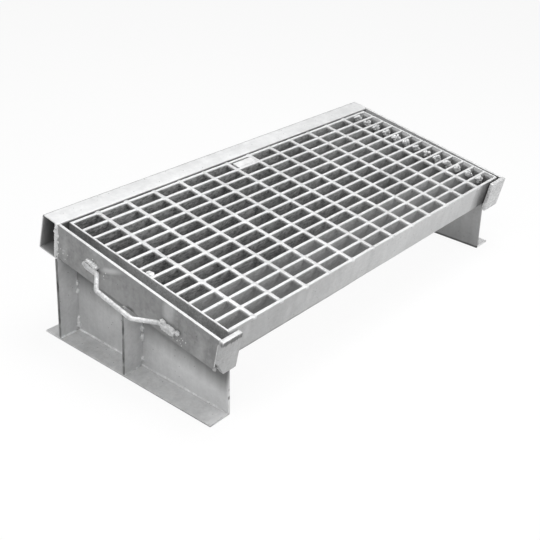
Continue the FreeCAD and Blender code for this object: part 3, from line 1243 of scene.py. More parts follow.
@dataclass
class SideAngle:
    """The angle section at one end: an upright side plate and a seat for the grating."""

    side: Side
    thickness: float = 0.008
    seat_width: float = 0.075
    seat_top: float = -0.087
    root_radius: float = 0.008
    toe_radius: float = 0.004
    edge: float = 0.0016
    rim: float = 0.001
    front: float = -0.007
    rear: float = 0.542
    front_drop: float = 0.0075
    rear_rise: float = 0.002
    sections: int = 24

    def __post_init__(self) -> None:
        """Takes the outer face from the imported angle."""
        self.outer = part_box("side_angle_right")[1].x
        self.inner = self.outer - self.thickness
        self.seat_bottom = self.seat_top - self.thickness

    def top(self, v: Array) -> Array:
        """Height of the upright side's top edge, which runs in a straight line from front to rear."""
        share = (v - self.front) / (self.rear - self.front)
        return -self.front_drop + (self.front_drop + self.rear_rise) * share

    def build(self) -> None:
        """Makes the angle: an L section along the slope whose top edge rises towards the rear."""
        toe = self.outer - self.seat_width
        corners = [
            (toe, self.seat_bottom),
            (self.outer, self.seat_bottom),
            (self.outer, 0),
            (self.inner, 0),
            (self.inner, self.seat_top),
            (toe, self.seat_top),
        ]
        outline = rounded_outline(corners, [self.edge] * 4 + [self.root_radius, self.toe_radius])
        flat, along = prism(outline, self.rear - self.front, self.rim, self.sections)
        v = self.front + along
        raised = flat[..., 1] > self.seat_top / 2
        n = flat[..., 1] + raised * self.top(v)
        skin = Surface.loft(SLOPE.place(self.side.value * flat[..., 0], v, n))
        word = self.side.word
        add_piece(f"side_plate_{word}", [skin], self.finish(), [f"side_angle_{word}"])

    def finish(self) -> ZincFinish:
        """The side plates' darker greys below a pale top edge, which is painted as lit, with pale smudges
        beside the anchor's welds, dark patches, and painted light on the inner face.

        Returns:
            The finish.
        """
        x = self.side.value * self.outer
        inner_x = self.side.value * self.inner
        spots = (
            (0.345, -0.026, 0.045, 0.011, -26.0, 0.5),
            (0.150, -0.022, 0.022, 0.045, 0.0, 0.3),
            (0.040, -0.07, 0.02, 0.05, 0.0, 0.12),
            (0.51, -0.055, 0.012, 0.05, 0.0, 0.12),
        )
        marks_and_light = tuple(Patch(SLOPE.point(x, v, n), (0.02, along, up), much, SMEAR_AND_LIGHT, turn)
                       for v, n, along, up, turn, much in spots)
        marks_and_light += (
            Patch(SLOPE.point(x, 0.27, -0.05), (0.02, 0.13, 0.09), 0.14, ragged=0.3),
            Patch(SLOPE.point(x, 0.267, -0.092), (0.02, 0.016, 0.007), 0.75),
            # Painted light on the inner face near its top.
            Patch(SLOPE.point(inner_x, 0.3, -0.005), (0.004, 1.2, 0.05), 0.5, PAINTED_LIGHT, ragged=0.2),
            Patch(SLOPE.point(inner_x, FRONT_V, -0.02), (0.004, 0.05, 0.04), 0.8),
        )
        rise = math.atan2(self.front_drop + self.rear_rise, self.rear - self.front)
        edge = SLOPE.point(0, self.front, -self.front_drop)
        # The sides' greys are the plate's own darker tone and painted shade; the top edge keeps the pale
        # greys, painted as lit.
        sides = Shelter(grey(0.43), grey(0.24), edge, SLOPE.angle + rise, 0.0012, 0.002)
        name = f"side_zinc_{self.side.word}"
        return ZincFinish(name, Slot.FRAME, grey(0.86), grey(0.7), patches=marks_and_light, side_shades=(sides,))


@dataclass(frozen=True)
class StopForm:
    """What differs between the two front stops: height, cut of the lower outer corner and zinc."""

    height: float
    cut: Pair
    pale: float
    dark: float
    grain: float
    mottle_scale: float
    speck_scale: float
    speck_size: float


STOP_FORMS = {
    Side.LEFT: StopForm(0.103, (0.024, 0.038), 0.66, 0.48, 0.3, 80.0, 55.0, 0.04),
    Side.RIGHT: StopForm(0.099, (0.004, 0.004), 0.98, 0.66, 0.6, 90.0, 150.0, 0.1),
}


@dataclass
class FrontStop:
    """The thick flat at the front end of a side angle."""

    side: Side
    top: float = -0.0085
    thickness: float = 0.012
    front: float = -0.019
    corner: float = 0.004
    edge: float = 0.0009

    def __post_init__(self) -> None:
        """Chooses the form of its end."""
        self.form = STOP_FORMS[self.side]
        self.bottom = self.top - self.form.height

    def build(self) -> None:
        """Makes the stop: a flat outline with a cut lower corner, carried through its thickness."""
        low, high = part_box(f"stop_{self.side.word}")
        inner, outer = sorted((abs(low.x), abs(high.x)))
        cut_along, cut_up = self.form.cut
        corners = [
            (inner, self.bottom),
            (outer - cut_along, self.bottom),
            (outer, self.bottom + cut_up),
            (outer, self.top),
            (inner, self.top),
        ]
        flat, along = prism(rounded_outline(corners, [self.corner] * 5), self.thickness, self.edge)
        skin = Surface.loft(SLOPE.place(self.side.value * flat[..., 0], self.front + along, flat[..., 1]))
        add_piece(f"front_stop_{self.side.word}", [skin], self.finish(), [f"stop_{self.side.word}"])

    def tone_patches(self) -> tuple[Patch, ...]:
        """The dark patches: a ragged ledge on the left stop, and the right stop's outer and lower rims.

        Returns:
            The patches.
        """
        if self.side is Side.LEFT:
            ledge = SLOPE.point(-0.652, self.front, self.top - 0.008)
            return (Patch(ledge, (0.06, 0.012, 0.009), 0.7, soft=0.4, ragged=1.4),)
        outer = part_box("stop_right")[1].x
        return (
            Patch(SLOPE.point(outer, self.front, self.top - 0.05), (0.005, 0.02, 0.08), 0.45),
            Patch(SLOPE.point(outer - 0.03, self.front, self.bottom), (0.06, 0.02, 0.005), 0.4),
        )

    def finish(self) -> ZincFinish:
        """A top painted pale, as lit, over the face's own greys, which are duller at the left and more
        mottled at the right.

        Returns:
            The finish.
        """
        form = self.form
        plane = SLOPE.point(0, 0, self.top)
        # The top keeps the pale greys, painted as lit.
        face = Shelter(grey(form.pale), grey(form.dark), plane, SLOPE.angle, start=0.0004, end=0.001,
                       grain=form.grain)
        return ZincFinish(f"stop_zinc_{self.side.word}", Slot.FRAME, grey(0.92), grey(0.6), bump=0.6,
                          mottle_scale=form.mottle_scale, run_stretch=(160.0, 160.0, 8.0),
                          speck_scale=form.speck_scale, speck_size=form.speck_size, side_shades=(face,),
                          patches=self.tone_patches())


STIFFENER_PLACES = ("rear", "middle")
STIFFENER_TONES = (0.8, 0.62)


@dataclass
class Leg:
    """An upright web and a foot that points outwards, with two stiffeners between them."""

    side: Side
    angle: SideAngle
    tube: KerbTube
    thickness: float = 0.006
    edge: float = 0.0014
    rim: float = 0.0009
    heel: float = 0.002
    front_lean: float = 0.009
    lean_start: float = 0.014
    front_corner: float = 0.015
    corner_steps: int = 7
    snip: float = 0.01
    snip_steps: int = 2
    foot_sections: int = 12
    # The right web's darker greys are painted shade under the grating.
    web_tones: ClassVar[dict[Side, Pair]] = {Side.LEFT: (0.82, 0.66), Side.RIGHT: (0.58, 0.44)}
    foot_tones: ClassVar[dict[Side, Pair]] = {Side.LEFT: (0.76, 0.56), Side.RIGHT: (0.96, 0.82)}
    front_nicks: ClassVar[tuple[float, ...]] = (0.05, 0.073, 0.082, 0.11)
    edge_nicks: ClassVar[tuple[Pair, ...]] = (
        (0.1, 0.03), (0.24, 0.016), (0.31, 0.024), (0.47, 0.045), (0.66, 0.02), (0.74, 0.035), (0.93, 0.03),
    )

    def __post_init__(self) -> None:
        """Takes the leg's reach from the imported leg."""
        low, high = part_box("leg_right")
        self.web_inner = low.x
        self.web_outer = low.x + self.thickness
        self.foot_outer = high.x
        self.front, self.rear = low.y, high.y

    def build_web(self) -> Surface:
        """The upright plate: its outline follows the undersides of seat and tube, and its front edge leans.

        Returns:
            Its skin.
        """
        seat, under = self.angle.seat_bottom, self.tube.bottom
        step_top = SLOPE.line(self.tube.front, seat)
        step_low = SLOPE.line(self.tube.front, under)
        top_front = self.front + self.front_lean
        corners = [
            (self.front, 0),
            (self.rear, 0),
            (self.rear, SLOPE.height(self.rear, under)),
            (step_low, SLOPE.height(step_low, under)),
            (step_top, SLOPE.height(step_top, seat)),
            (top_front, SLOPE.height(top_front, seat)),
            (self.front, self.lean_start),
        ]
        radii = [self.edge, self.edge, self.edge, 0, 0, self.front_corner, 0]
        flat, along = prism(rounded_outline(corners, radii, self.corner_steps), self.thickness, self.rim)
        x = self.side.value * (self.web_inner + along)
        return Surface.loft(points_of(x, flat[..., 0], flat[..., 1]))

    def build_foot(self) -> Surface:
        """The flat foot, from inside the web to its outer edge.

        Returns:
            Its skin.
        """
        outline = rectangle((self.web_inner + self.heel, 0), (self.foot_outer, self.thickness), self.edge)
        flat, along = prism(outline, self.rear - self.front, self.rim, self.foot_sections)
        return Surface.loft(points_of(self.side.value * flat[..., 0], self.front + along, flat[..., 1]))

    def build_gusset(self, place: str) -> Surface:
        """One stiffener: an upright plate across the leg with its lower inner corner snipped.

        Args:
            place: Which stiffener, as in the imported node's name.

        Returns:
            Its skin.
        """
        low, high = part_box(f"gusset_right_{place}")
        top = SLOPE.height(low.y, self.angle.seat_bottom)
        corners = [
            (self.web_outer + self.snip, self.thickness),
            (self.foot_outer, self.thickness),
            (self.foot_outer, top),
            (self.web_outer, top),
            (self.web_outer, self.thickness + self.snip),
        ]
        outline = rounded_outline(corners, [self.edge] * 5, self.snip_steps)
        flat, along = prism(outline, high.y - low.y, self.rim)
        return Surface.loft(points_of(self.side.value * flat[..., 0], low.y + along, flat[..., 1]))

    def web_patches(self) -> tuple[Patch, ...]:
        """The web's patches: painted shade low at the right; at the left darker towards the rear, painted
        light low at the front, painted shadow under the seat, a pale front edge that is partly painted
        highlight and partly a run of zinc, and a nicked front.

        Returns:
            The patches.
        """
        x = self.side.value * self.web_outer
        level = -SLOPE.angle_deg
        if self.side is Side.RIGHT:
            # Painted shade low on the web, under the grating.
            return (
                Patch((x, 0.0, 0.0), (0.05, 2.0, 0.14), 0.4, STAIN_AND_SHADE, level, 0.9, 0.2),
                Patch((x, 0.0, 0.0), (0.05, 2.0, 0.009), 0.85, STAIN_AND_SHADE, level, 0.5, 0.2),
            )
        under = self.angle.seat_bottom
        # Darker towards the rear, painted light low at the front, painted shadow under the seat, and a pale
        # front edge that is partly painted highlight.
        tone_patches = (
            Patch((x, self.rear, 0.1), (0.1, 0.36, 0.4), 0.12, ragged=0.3),
            Patch((x, self.front + 0.08, 0.04), (0.02, 0.14, 0.07), 0.25, SMEAR_AND_LIGHT, ragged=0.4),
            Patch(SLOPE.point(x, 0.27, under - 0.03), (0.02, 0.9, 0.085), 0.5, ragged=0.25),
            Patch(SLOPE.point(x, 0.27, under - 0.045), (0.02, 0.9, 0.03), 0.3, ragged=0.25),
            Patch(SLOPE.point(x, 0.03, under - 0.05), (0.02, 0.08, 0.055), 0.25, ragged=0.3),
            Patch((x, self.front, 0.075), (0.02, 0.012, 0.07), 0.5, SMEAR_AND_LIGHT, level),
        )
        nicks = tuple(Patch((x, self.front, z), (0.02, 0.004, 0.007), 0.8) for z in self.front_nicks)
        return tone_patches + nicks

    def foot_patches(self) -> tuple[Patch, ...]:
        """The foot's patches: darker towards the rear, a painted highlight on the lit rear end and a dark
        outer edge.

        Returns:
            The patches.
        """
        x = self.side.value * self.foot_outer
        return (
            Patch((x, self.rear, 0.006), (0.2, 0.3, 0.4), 0.14, ragged=0.3),
            # Painted light on the rear end, beyond the stiffener.
            Patch((x, self.rear, 0.006), (0.2, 0.065, 0.05), 0.8, SMEAR_AND_LIGHT),
            Patch((x, self.front + 0.1, 0.0), (0.02, 0.3, 0.005), 0.6, STAIN_AND_SHADE, -SLOPE.angle_deg),
        )

    def stiffener_stains(self, place: str) -> tuple[Patch, ...]:
        """A stiffener's patches: a darkened, nicked outer edge.

        Args:
            place: Which stiffener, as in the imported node's name.

        Returns:
            The patches.
        """
        low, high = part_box(f"gusset_right_{place}")
        x = self.side.value * self.foot_outer
        middle = (low.y + high.y) / 2
        nicks = [((x, middle, high.z * share), (0.0035, 0.02, tall)) for share, tall in self.edge_nicks]
        return tuple(Patch(centre, reach, 0.75) for centre, reach in nicks)

    def finish(self, part: str, tones: Pair, patches: tuple[Patch, ...]) -> ZincFinish:
        """The zinc of one of the leg's plates.

        Args:
            part: The name that the finish goes by.
            tones: Its pale and its dark grey.
            patches: The patches on it.

        Returns:
            The finish.
        """
        pale, dark = tones
        return ZincFinish(part, Slot.FRAME, grey(pale), grey(dark), patches=patches)

    def build(self) -> None:
        """Makes the plates and their stiffeners."""
        word = self.side.word
        web_zinc = self.finish(f"web_zinc_{word}", self.web_tones[self.side], self.web_patches())
        foot_zinc = self.finish(f"foot_zinc_{word}", self.foot_tones[self.side], self.foot_patches())
        add_piece(f"leg_web_{word}", [self.build_web()], web_zinc, [f"leg_{word}"])
        add_piece(f"leg_foot_{word}", [self.build_foot()], foot_zinc, [f"leg_{word}"])
        for place in STIFFENER_PLACES:
            skin = self.build_gusset(place)
            zinc_name = f"stiffener_zinc_{word}_{place}"
            zinc = self.finish(zinc_name, STIFFENER_TONES, self.stiffener_stains(place))
            add_piece(f"stiffener_{word}_{place}", [skin], zinc, [f"gusset_{word}_{place}"])


@dataclass
class AnchorBar:
    """A round bar bent into a hat, its two feet welded along the side plate's outer face."""

    side: Side
    angle: SideAngle
    diameter: float = 0.012
    stand_off: float = 0.045
    grip: float = 0.121
    splay: float = 0.049
    foot: float = 0.049
    bend: float = 0.016
    bend_steps: int = 8
    front_v: float = 0.117
    front_n: float = -0.0685
    tilt_deg: float = 3.4
    points: int = 20
    section_gap: float = 0.008
    knots: int = 40
    roughness: float = 0.015
    end_shrink: Pair = (0.8, 0.95)
    end_reach: Pair = (0.0012, 0.0004)

    def corners(self) -> Array:
        """The bar's corners on its own plane: distance from the plate's face and distance along the plate.

        Returns:
            One corner a row, from the front end to the rear end.
        """
        near = self.diameter / 2
        far = near + self.stand_off
        runs = np.cumsum([0, self.foot, self.splay, self.grip, self.splay, self.foot])
        return np.stack([[near, near, far, far, near, near], runs], axis=1)

    def place(self, out: Array, along: Array, lift: Array) -> Array:
        """World points of places on the bar's plane.

        Args:
            out: Distance from the plate's outer face.
            along: Distance along the plate from the bar's front end.
            lift: Height above the bar's plane.

        Returns:
            Points along a new last axis.
        """
        tilt = math.radians(self.tilt_deg)
        v = self.front_v + along * math.cos(tilt) - lift * math.sin(tilt)
        n = self.front_n + along * math.sin(tilt) + lift * math.cos(tilt)
        return SLOPE.place(self.side.value * (self.angle.outer + out), v, n)

    def build(self) -> None:
        """Makes the bar: a circle carried along straight runs and tangent arcs, its ends rounded off."""
        bent = rounded_outline(self.corners(), [0] + [self.bend] * 4 + [0], self.bend_steps)
        runs = []
        for first, second in zip(bent[:-1], bent[1:]):
            parts = max(1, int(np.linalg.norm(second - first) / self.section_gap))
            runs.append(first + (second - first) * np.linspace(0, 1, parts, endpoint=False)[:, None])
        line = np.concatenate(runs + [bent[-1:]])
        tangent = unit(np.gradient(line, axis=0))
        normal = np.stack([tangent[:, 1], -tangent[:, 0]], axis=1)
        turn = turns(self.points)
        waves = uneven(len(line), self.knots, Seed.ANCHOR)
        radius = self.diameter / 2 * (1 - self.roughness + self.roughness * waves)
        ends = np.array(self.end_shrink)
        caps = np.array(self.end_reach)
        radius = np.concatenate([radius[0] * ends, radius, radius[-1] * ends[::-1]])
        front_cap = line[0] - tangent[0] * caps[:, None]
        rear_cap = line[-1] + tangent[-1] * caps[::-1, None]
        line = np.concatenate([front_cap, line, rear_cap])
        normal = np.concatenate([normal[[0, 0]], normal, normal[[-1, -1]]])
        ring = line[:, None] + radius[:, None, None] * np.cos(turn)[None, :, None] * normal[:, None]
        lift = radius[:, None] * np.sin(turn)
        skin = Surface.loft(self.place(ring[..., 0], ring[..., 1], lift))
        add_piece(f"anchor_{self.side.word}", [skin], ANCHOR_ZINC, [f"anchor_bar_{self.side.word}"])


TUBE_BEAD = Bead(0.009, 0.004, 0.007, 0.4)
STITCH = Bead(0.011, 0.0052, swell=0.3)
FOOT_RUN = Bead(0.007)
SEAT_RUN = Bead(0.006)
ANCHOR_BEAD = Bead(0.0105, 0.0065, 0.008, 0.4)
LEG_STITCH = Bead(0.007)
STOP_BEAD = Bead(0.008)
STOP_EDGE = Bead(0.0026, 0.001)
FOLD_LINE = Bead(0.006, 0.003, 0.012, 0.25, 6)
OUTWARD = (1, 0, 0)


@dataclass
class FrameWelds:
    """The weld beads of one end of the frame."""

    angle: SideAngle
    leg: Leg
    anchor: AnchorBar
    tube: KerbTube
    side_seeds: ClassVar[int] = 500
    slant: ClassVar[float] = 0.7
    stitches: ClassVar[dict[str, tuple[Pair, ...]]] = {
        "rear": ((0.012, 0.05), (0.118, 0.133), (0.143, 0.158)),
        "middle": ((0.02, 0.034), (0.078, 0.102), (0.108, 0.128), (0.14, 0.15)),
    }
    seat_stitches: ClassVar[tuple[Pair, ...]] = ((-0.24, -0.2), (-0.12, -0.08), (0.06, 0.1), (0.18, 0.22))
    tube_stitches: ClassVar[tuple[Pair, ...]] = ((0.27, 0.3),)
    tube_lumps: ClassVar[int] = 30
    foot_lumps: ClassVar[int] = 9
    bead_lifts: ClassVar[Pair] = (0.0115, -0.0075)
    drop_groups: ClassVar[tuple[tuple[float, float, float, int], ...]] = (
        (0.103, -0.078, 0.012, 11),
        (0.41, -0.04, 0.014, 6),
        (0.508, -0.07, 0.014, 7),
        (0.36, -0.05, 0.012, 3),
    )

    @property
    def mirror(self) -> Array:
        """Factors that carry a place between the right-hand end and this end."""
        return np.array([self.leg.side.value, 1, 1])

    def seam(self, start: Point, end: Point, outward: Point, across: Point, seed: int, bead: Bead) -> Surface:
        """A bead between two world points that are given for the right-hand end.

        Args:
            start: Where it starts.
            end: Where it ends.
            outward: The direction that it bulges in.
            across: The direction of its width.
            seed: The seed of its unevenness.
            bead: Its form.

        Returns:
            Its skin.
        """
        vectors = [np.asarray(vector, float) * self.mirror for vector in (start, end, outward, across)]
        own_seed = seed + self.side_seeds * (self.leg.side.value + 1)
        return WeldSeam(*vectors, seed=own_seed, bead=bead).build()

    def plate_to_tube(self) -> list[Surface]:
        """The upright bead between the side plate's rear end and the tube, with small lumps along it.

        Returns:
            One skin for the bead and one for each lump.
        """
        sunk, low_gap, high_gap = 0.001, 0.001, 0.005
        least_shift, most_shift = (-0.001, -0.0075, -0.002), (0.001, 0.0045, 0.002)
        least_size, most_size, form = 0.003, 0.006, np.array([0.7, 1, 1])
        x = self.angle.outer - sunk
        low = SLOPE.place(x, self.angle.rear + low_gap, self.angle.seat_bottom)
        high = SLOPE.place(x, self.angle.rear + high_gap, 0.0)
        uphill = (0, SLOPE.cos, SLOPE.sin)
        beads = [self.seam(low, high, OUTWARD, uphill, Seed.TUBE_BEAD, TUBE_BEAD)]
        draw = np.random.default_rng(Seed.TUBE_LUMPS)
        for i, share in enumerate(np.linspace(0.02, 0.98, self.tube_lumps)):
            shift = draw.uniform(least_shift, most_shift)
            centre = (low + (high - low) * share) * self.mirror + shift
            size = draw.uniform(least_size, most_size, 3) * form
            beads.append(Surface.loft(lump(centre, size, Seed.TUBE_DENTS + i, *SMALL_LUMP)))
        return beads

    def stiffeners(self) -> list[Surface]:
        """The beads of the stiffeners: stitches up the web, a full run along the foot and one under the seat.

        Returns:
            One skin for each bead.
        """
        leg, slant = self.leg, self.slant
        foot_gap, web_gap, seat_gap = 0.002, 0.004, 0.003
        place_seeds, face_seeds, foot_seed, seat_seed = 20, 7, 4, 5
        beads = []
        for i, place in enumerate(STIFFENER_PLACES):
            low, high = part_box(f"gusset_right_{place}")
            for j, (face, out) in enumerate(((low.y, -1), (high.y, 1))):
                seed = Seed.STIFFENERS + place_seeds * i + face_seeds * j
                lean = out * slant
                for k, heights in enumerate(self.stitches[place]):
                    start, end = ((leg.web_outer, face, z) for z in heights)
                    beads.append(self.seam(start, end, (slant, lean, 0), (slant, -lean, 0), seed + k, STITCH))
                start = (leg.web_outer + leg.snip, face, leg.thickness)
                end = (leg.foot_outer - foot_gap, face, leg.thickness)
                out_of, across = (0, lean, slant), (0, -lean, slant)
                beads.append(self.seam(start, end, out_of, across, seed + foot_seed, FOOT_RUN))
                top = float(SLOPE.height(face, self.angle.seat_bottom))
                start = (leg.web_outer + web_gap, face, top)
                end = (self.angle.outer - seat_gap, face, top)
                out_of, across = (0, lean, -slant), (0, lean, slant)
                beads.append(self.seam(start, end, out_of, across, seed + seat_seed, SEAT_RUN))
        return beads

    def anchor_feet(self) -> list[Surface]:
        """Beads below both feet of the anchor bar and above the rear one, and lumps above the front one.

        Returns:
            One skin for each lump and bead.
        """
        bar = self.anchor
        runs = bar.corners()[:, 1]
        count = self.foot_lumps
        lump_out, lump_lift, scatter, front_gap, rear_gap = 0.0045, 0.0068, 0.002, 0.005, 0.004
        least_size, most_size = 0.004, 0.007
        bead_out, bead_gap, bead_lean = 0.0015, 0.002, 0.35
        foot_seeds, lift_seeds = 4, 2
        along = np.linspace(runs[0] - front_gap, runs[1] - rear_gap, count)
        places = np.stack([np.full(count, lump_out), along, np.full(count, lump_lift)])
        draw = np.random.default_rng(Seed.ANCHOR_LUMPS)
        places[1:] += draw.uniform(-scatter, scatter, (2, count))
        beads = []
        for i, centre in enumerate(bar.place(*places)):
            size = draw.uniform(least_size, most_size, 3)
            beads.append(Surface.loft(lump(centre, size, Seed.ANCHOR_DENTS + i, *SMALL_LUMP)))
        across = (bead_lean, -SLOPE.sin, SLOPE.cos)
        for i, foot in enumerate((runs[:2], runs[4:])):
            for j, lift in enumerate(self.bead_lifts[1 - i:]):
                ends = (foot[0] + bead_gap, foot[1] - bead_gap)
                start, end = (bar.place(bead_out, place, lift) * self.mirror for place in ends)
                seed = Seed.ANCHOR_BEADS + foot_seeds * i + lift_seeds * j
                beads.append(self.seam(start, end, OUTWARD, across, seed, ANCHOR_BEAD))
        return beads

    def spatter(self) -> list[Surface]:
        """Small drops of metal on the side plate, around the anchor's feet and beside the plate's rear end.

        Returns:
            One skin for each drop.
        """
        draw = np.random.default_rng(Seed.SPATTER)
        bottom = self.angle.seat_bottom
        lowest, highest = bottom + 0.004, -0.012
        scatter, least_size, most_size, flatness = 0.6, 0.0009, 0.002, 0.7
        corner_sunk, corner_v, corner_reach, corner_shade = 0.002, -0.008, (0.0035, 0.0055, 0.005), 0.4
        x = self.leg.side.value * self.angle.outer
        drops = []
        for v, n, spread, count in self.drop_groups:
            for i in range(count):
                shift = draw.normal(0, scatter * spread, 2)
                size = draw.uniform(least_size, most_size)
                centre = SLOPE.place(x, v + shift[0], np.clip(n + shift[1], lowest, highest))
                reach = np.array([size * flatness, size, size])
                drops.append(Surface.loft(lump(centre, reach, Seed.DROP_DENTS + i, *DROP_LUMP)))
        # The lump in the corner under the seat is painted darker, as shade.
        corner_x = self.leg.side.value * (self.angle.outer - corner_sunk)
        corner = SLOPE.place(corner_x, corner_v, bottom + corner_sunk)
        sections = lump(corner, np.array(corner_reach), Seed.CORNER_DENTS)
        drops.append(Surface.loft(sections, shade=np.full(len(sections), corner_shade)))
        return drops

    def leg_to_frame(self) -> list[Surface]:
        """Stitches along the web's top, on both of its faces, under the seat and under the tube.

        Returns:
            One skin for each bead.
        """
        leg, slant = self.leg, self.slant
        rows = [(run, self.angle.seat_bottom) for run in self.seat_stitches]
        rows += [(run, self.tube.bottom) for run in self.tube_stitches]
        beads = []
        for i, (run, under) in enumerate(rows):
            for j, (face, out) in enumerate(((leg.web_outer, 1), (leg.web_inner, -1))):
                start, end = ((face, y, float(SLOPE.height(y, under))) for y in run)
                seed = Seed.LEG_STITCHES + 2 * i + j
                lean = out * slant
                beads.append(self.seam(start, end, (lean, 0, -slant), (lean, 0, slant), seed, LEG_STITCH))
        return beads

    def stop_to_seat(self) -> list[Surface]:
        """Beads behind the stop, along the seat's underside and down the side plate's outer edge.

        Returns:
            One skin for each bead.
        """
        angle = self.angle
        inner_gap, outer_gap, edge_heights = 0.004, 0.012, (-0.088, -0.02)
        below, across = (0, 0.6, -0.8), (0, 0.8, 0.6)
        inner = max(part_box("stop_right")[0].x, angle.outer - angle.seat_width) + inner_gap
        ends = (inner, angle.outer - outer_gap)
        start, end = (SLOPE.place(u, angle.front, angle.seat_bottom) for u in ends)
        low, high = (SLOPE.place(angle.outer, angle.front, n) for n in edge_heights)
        uphill = (0, SLOPE.cos, SLOPE.sin)
        return [
            self.seam(start, end, below, across, Seed.STOP_BEAD, STOP_BEAD),
            self.seam(low, high, OUTWARD, uphill, Seed.STOP_EDGE, STOP_EDGE),
        ]

    def fold(self) -> list[Surface]:
        """The fine line of metal along the corner between the web and the foot.

        Returns:
            Its skin.
        """
        leg, slant = self.leg, self.slant
        end_gap = 0.004
        run = (leg.front + end_gap, leg.rear - end_gap)
        start, end = ((leg.web_outer, y, leg.thickness) for y in run)
        return [self.seam(start, end, (slant, 0, slant), (slant, 0, -slant), Seed.FOLD, FOLD_LINE)]

    def build(self) -> None:
        """Makes all the beads of this end as one piece."""
        beads = self.plate_to_tube() + self.stiffeners() + self.anchor_feet() + self.leg_to_frame()
        beads += self.stop_to_seat() + self.fold() + self.spatter()
        add_piece(f"weld_beads_{self.leg.side.word}", beads, WELD_ZINC)


# Studio


@dataclass(frozen=True)
class PhotoCamera:
    """A camera placed as the one that took the photograph, found from the grid of the bars and rods."""

    eye: Point = (-1.98055, -1.40846, 1.3419)
    yaw_deg: float = -52.834
    pitch_deg: float = 28.282
    roll_deg: float = 4.048
    focal_px: float = 911.68
    picture_px: float = 540.0
    sensor_mm: float = 36.0
    far_clip: float = 100.0

    def build(self) -> None:
        """Makes the camera: it looks against the back arm, with its right and up arms turned by the roll."""
        yaw, pitch, roll = (math.radians(angle) for angle in (self.yaw_deg, self.pitch_deg, self.roll_deg))
        back = Vector((math.sin(yaw) * math.cos(pitch), -math.cos(yaw) * math.cos(pitch), math.sin(pitch)))
        right = Vector((0, 0, 1)).cross(back).normalized()
        up = back.cross(right)
        turned_right = right * math.cos(roll) + up * math.sin(roll)
        turned_up = up * math.cos(roll) - right * math.sin(roll)
        data = bpy.data.cameras.new("photo_camera")
        data.sensor_width = self.sensor_mm
        data.lens = self.focal_px / self.picture_px * self.sensor_mm
        data.clip_end = self.far_clip
        camera = bpy.data.objects.new("photo_camera", data)
        turn = Matrix((turned_right, turned_up, back)).transposed()
        camera.matrix_world = Matrix.Translation(self.eye) @ turn.to_4x4()
        bpy.context.scene.collection.objects.link(camera)
        bpy.context.scene.camera = camera


@dataclass(frozen=True)
class Lamp:
    """A square soft lamp: where it hangs, what it points at, its side and its power in watts."""

    name: str
    place: Point
    aim: Point
    size: float
    power: float

    def build(self) -> None:
        """Makes the lamp and points it."""
        data = bpy.data.lights.new(self.name, "AREA")
        data.size = self.size
        data.energy = self.power
        lamp = bpy.data.objects.new(self.name, data)
        lamp.location = self.place
        lamp.rotation_mode = "QUATERNION"
        lamp.rotation_quaternion = (Vector(self.aim) - Vector(self.place)).to_track_quat("-Z", "Y")
        bpy.context.scene.collection.objects.link(lamp)


LAMPS = (
    Lamp("top_lamp", (0.3, -0.4, 3.4), (0, 0, 0.2), 1.8, 68.0),
    Lamp("front_lamp", (0.6, -3.5, 1.9), (0, 0, 0.2), 1.6, 30.0),
    Lamp("left_lamp", (-2.3, -0.6, 3.0), (-0.6, 0, 0.15), 1.8, 48.0),
)


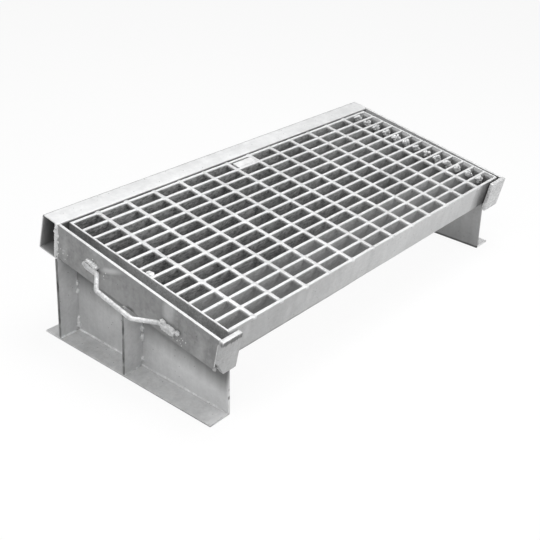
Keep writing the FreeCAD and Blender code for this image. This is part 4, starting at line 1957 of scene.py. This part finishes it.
@dataclass
class Studio:
    """A pale floor, a soft sky and soft lamps from above and from the front."""

    floor_half: float = 14.0
    floor_drop: float = 0.0003
    seen_white: float = 0.9
    seen_colour: Colour = (0.92, 0.92, 0.92)
    bounce_colour: Colour = (0.5, 0.5, 0.5)
    sky: float = 0.32

    def floor(self) -> None:
        """Makes the floor: white with a soft shadow where it is seen, plain grey where it throws light."""
        half, low = self.floor_half, -self.floor_drop
        corners = [(-half, -half, low), (half, -half, low), (half, half, low), (-half, half, low)]
        mesh = bpy.data.meshes.new("studio_floor")
        mesh.from_pydata(corners, [], [(0, 1, 2, 3)])
        made = bpy.data.materials.new("studio_floor")
        made.use_nodes = True
        web = NodeWeb(made.node_tree)
        nodes = made.node_tree.nodes
        nodes.remove(nodes["Principled BSDF"])
        seen = web.add("ShaderNodeBsdfDiffuse", Color=self.seen_colour)
        white = web.add("ShaderNodeEmission", Strength=1.0)
        bounce = web.add("ShaderNodeBsdfDiffuse", Color=self.bounce_colour)
        path = web.add("ShaderNodeLightPath").outputs
        shown = web.math("MAXIMUM", path["Is Camera Ray"], path["Is Glossy Ray"])
        shown = web.math("MAXIMUM", shown, path["Is Transmission Ray"])
        bright = self.mixed(web, self.seen_white, seen, white)
        out = self.mixed(web, shown, bounce, bright)
        web.feed(nodes["Material Output"].inputs["Surface"], out.outputs[0])
        mesh.materials.append(made)
        floor = bpy.data.objects.new("studio_floor", mesh)
        bpy.context.scene.collection.objects.link(floor)

    @staticmethod
    def mixed(web: NodeWeb, share: object, first: bpy.types.Node, second: bpy.types.Node) -> bpy.types.Node:
        """A mix of two shaders.

        Args:
            web: The material's nodes.
            share: How much of the second there is.
            first: The first shader.
            second: The second shader.

        Returns:
            The mixing node.
        """
        node = web.tree.nodes.new("ShaderNodeMixShader")
        for socket, value in zip(node.inputs, (share, first.outputs[0], second.outputs[0])):
            web.feed(socket, value)
        return node

    def build(self) -> None:
        """Makes the floor, the sky and the lamps, and sets the plain view transform."""
        self.floor()
        world = bpy.data.worlds.new("studio_sky")
        bpy.context.scene.world = world
        world.use_nodes = True
        sky = world.node_tree.nodes["Background"]
        sky.inputs["Color"].default_value = (1, 1, 1, 1)
        sky.inputs["Strength"].default_value = self.sky
        for lamp in LAMPS:
            lamp.build()
        bpy.context.scene.view_settings.view_transform = "Standard"


def main() -> None:
    """Builds the grating, the frame and the studio in order."""
    logging.basicConfig(level=logging.INFO, format="%(name)s: %(message)s")
    grating = BarGrating()
    grating.build()
    LockPlate(grating).build()
    EndLug().build()
    tube = KerbTube()
    tube.build()
    for side in Side:
        angle = SideAngle(side)
        angle.build()
        FrontStop(side).build()
        leg = Leg(side, angle, tube)
        leg.build()
        anchor = AnchorBar(side, angle)
        anchor.build()
        FrameWelds(angle, leg, anchor, tube).build()
    PhotoCamera().build()
    Studio().build()


if __name__ == "__main__":
    main()
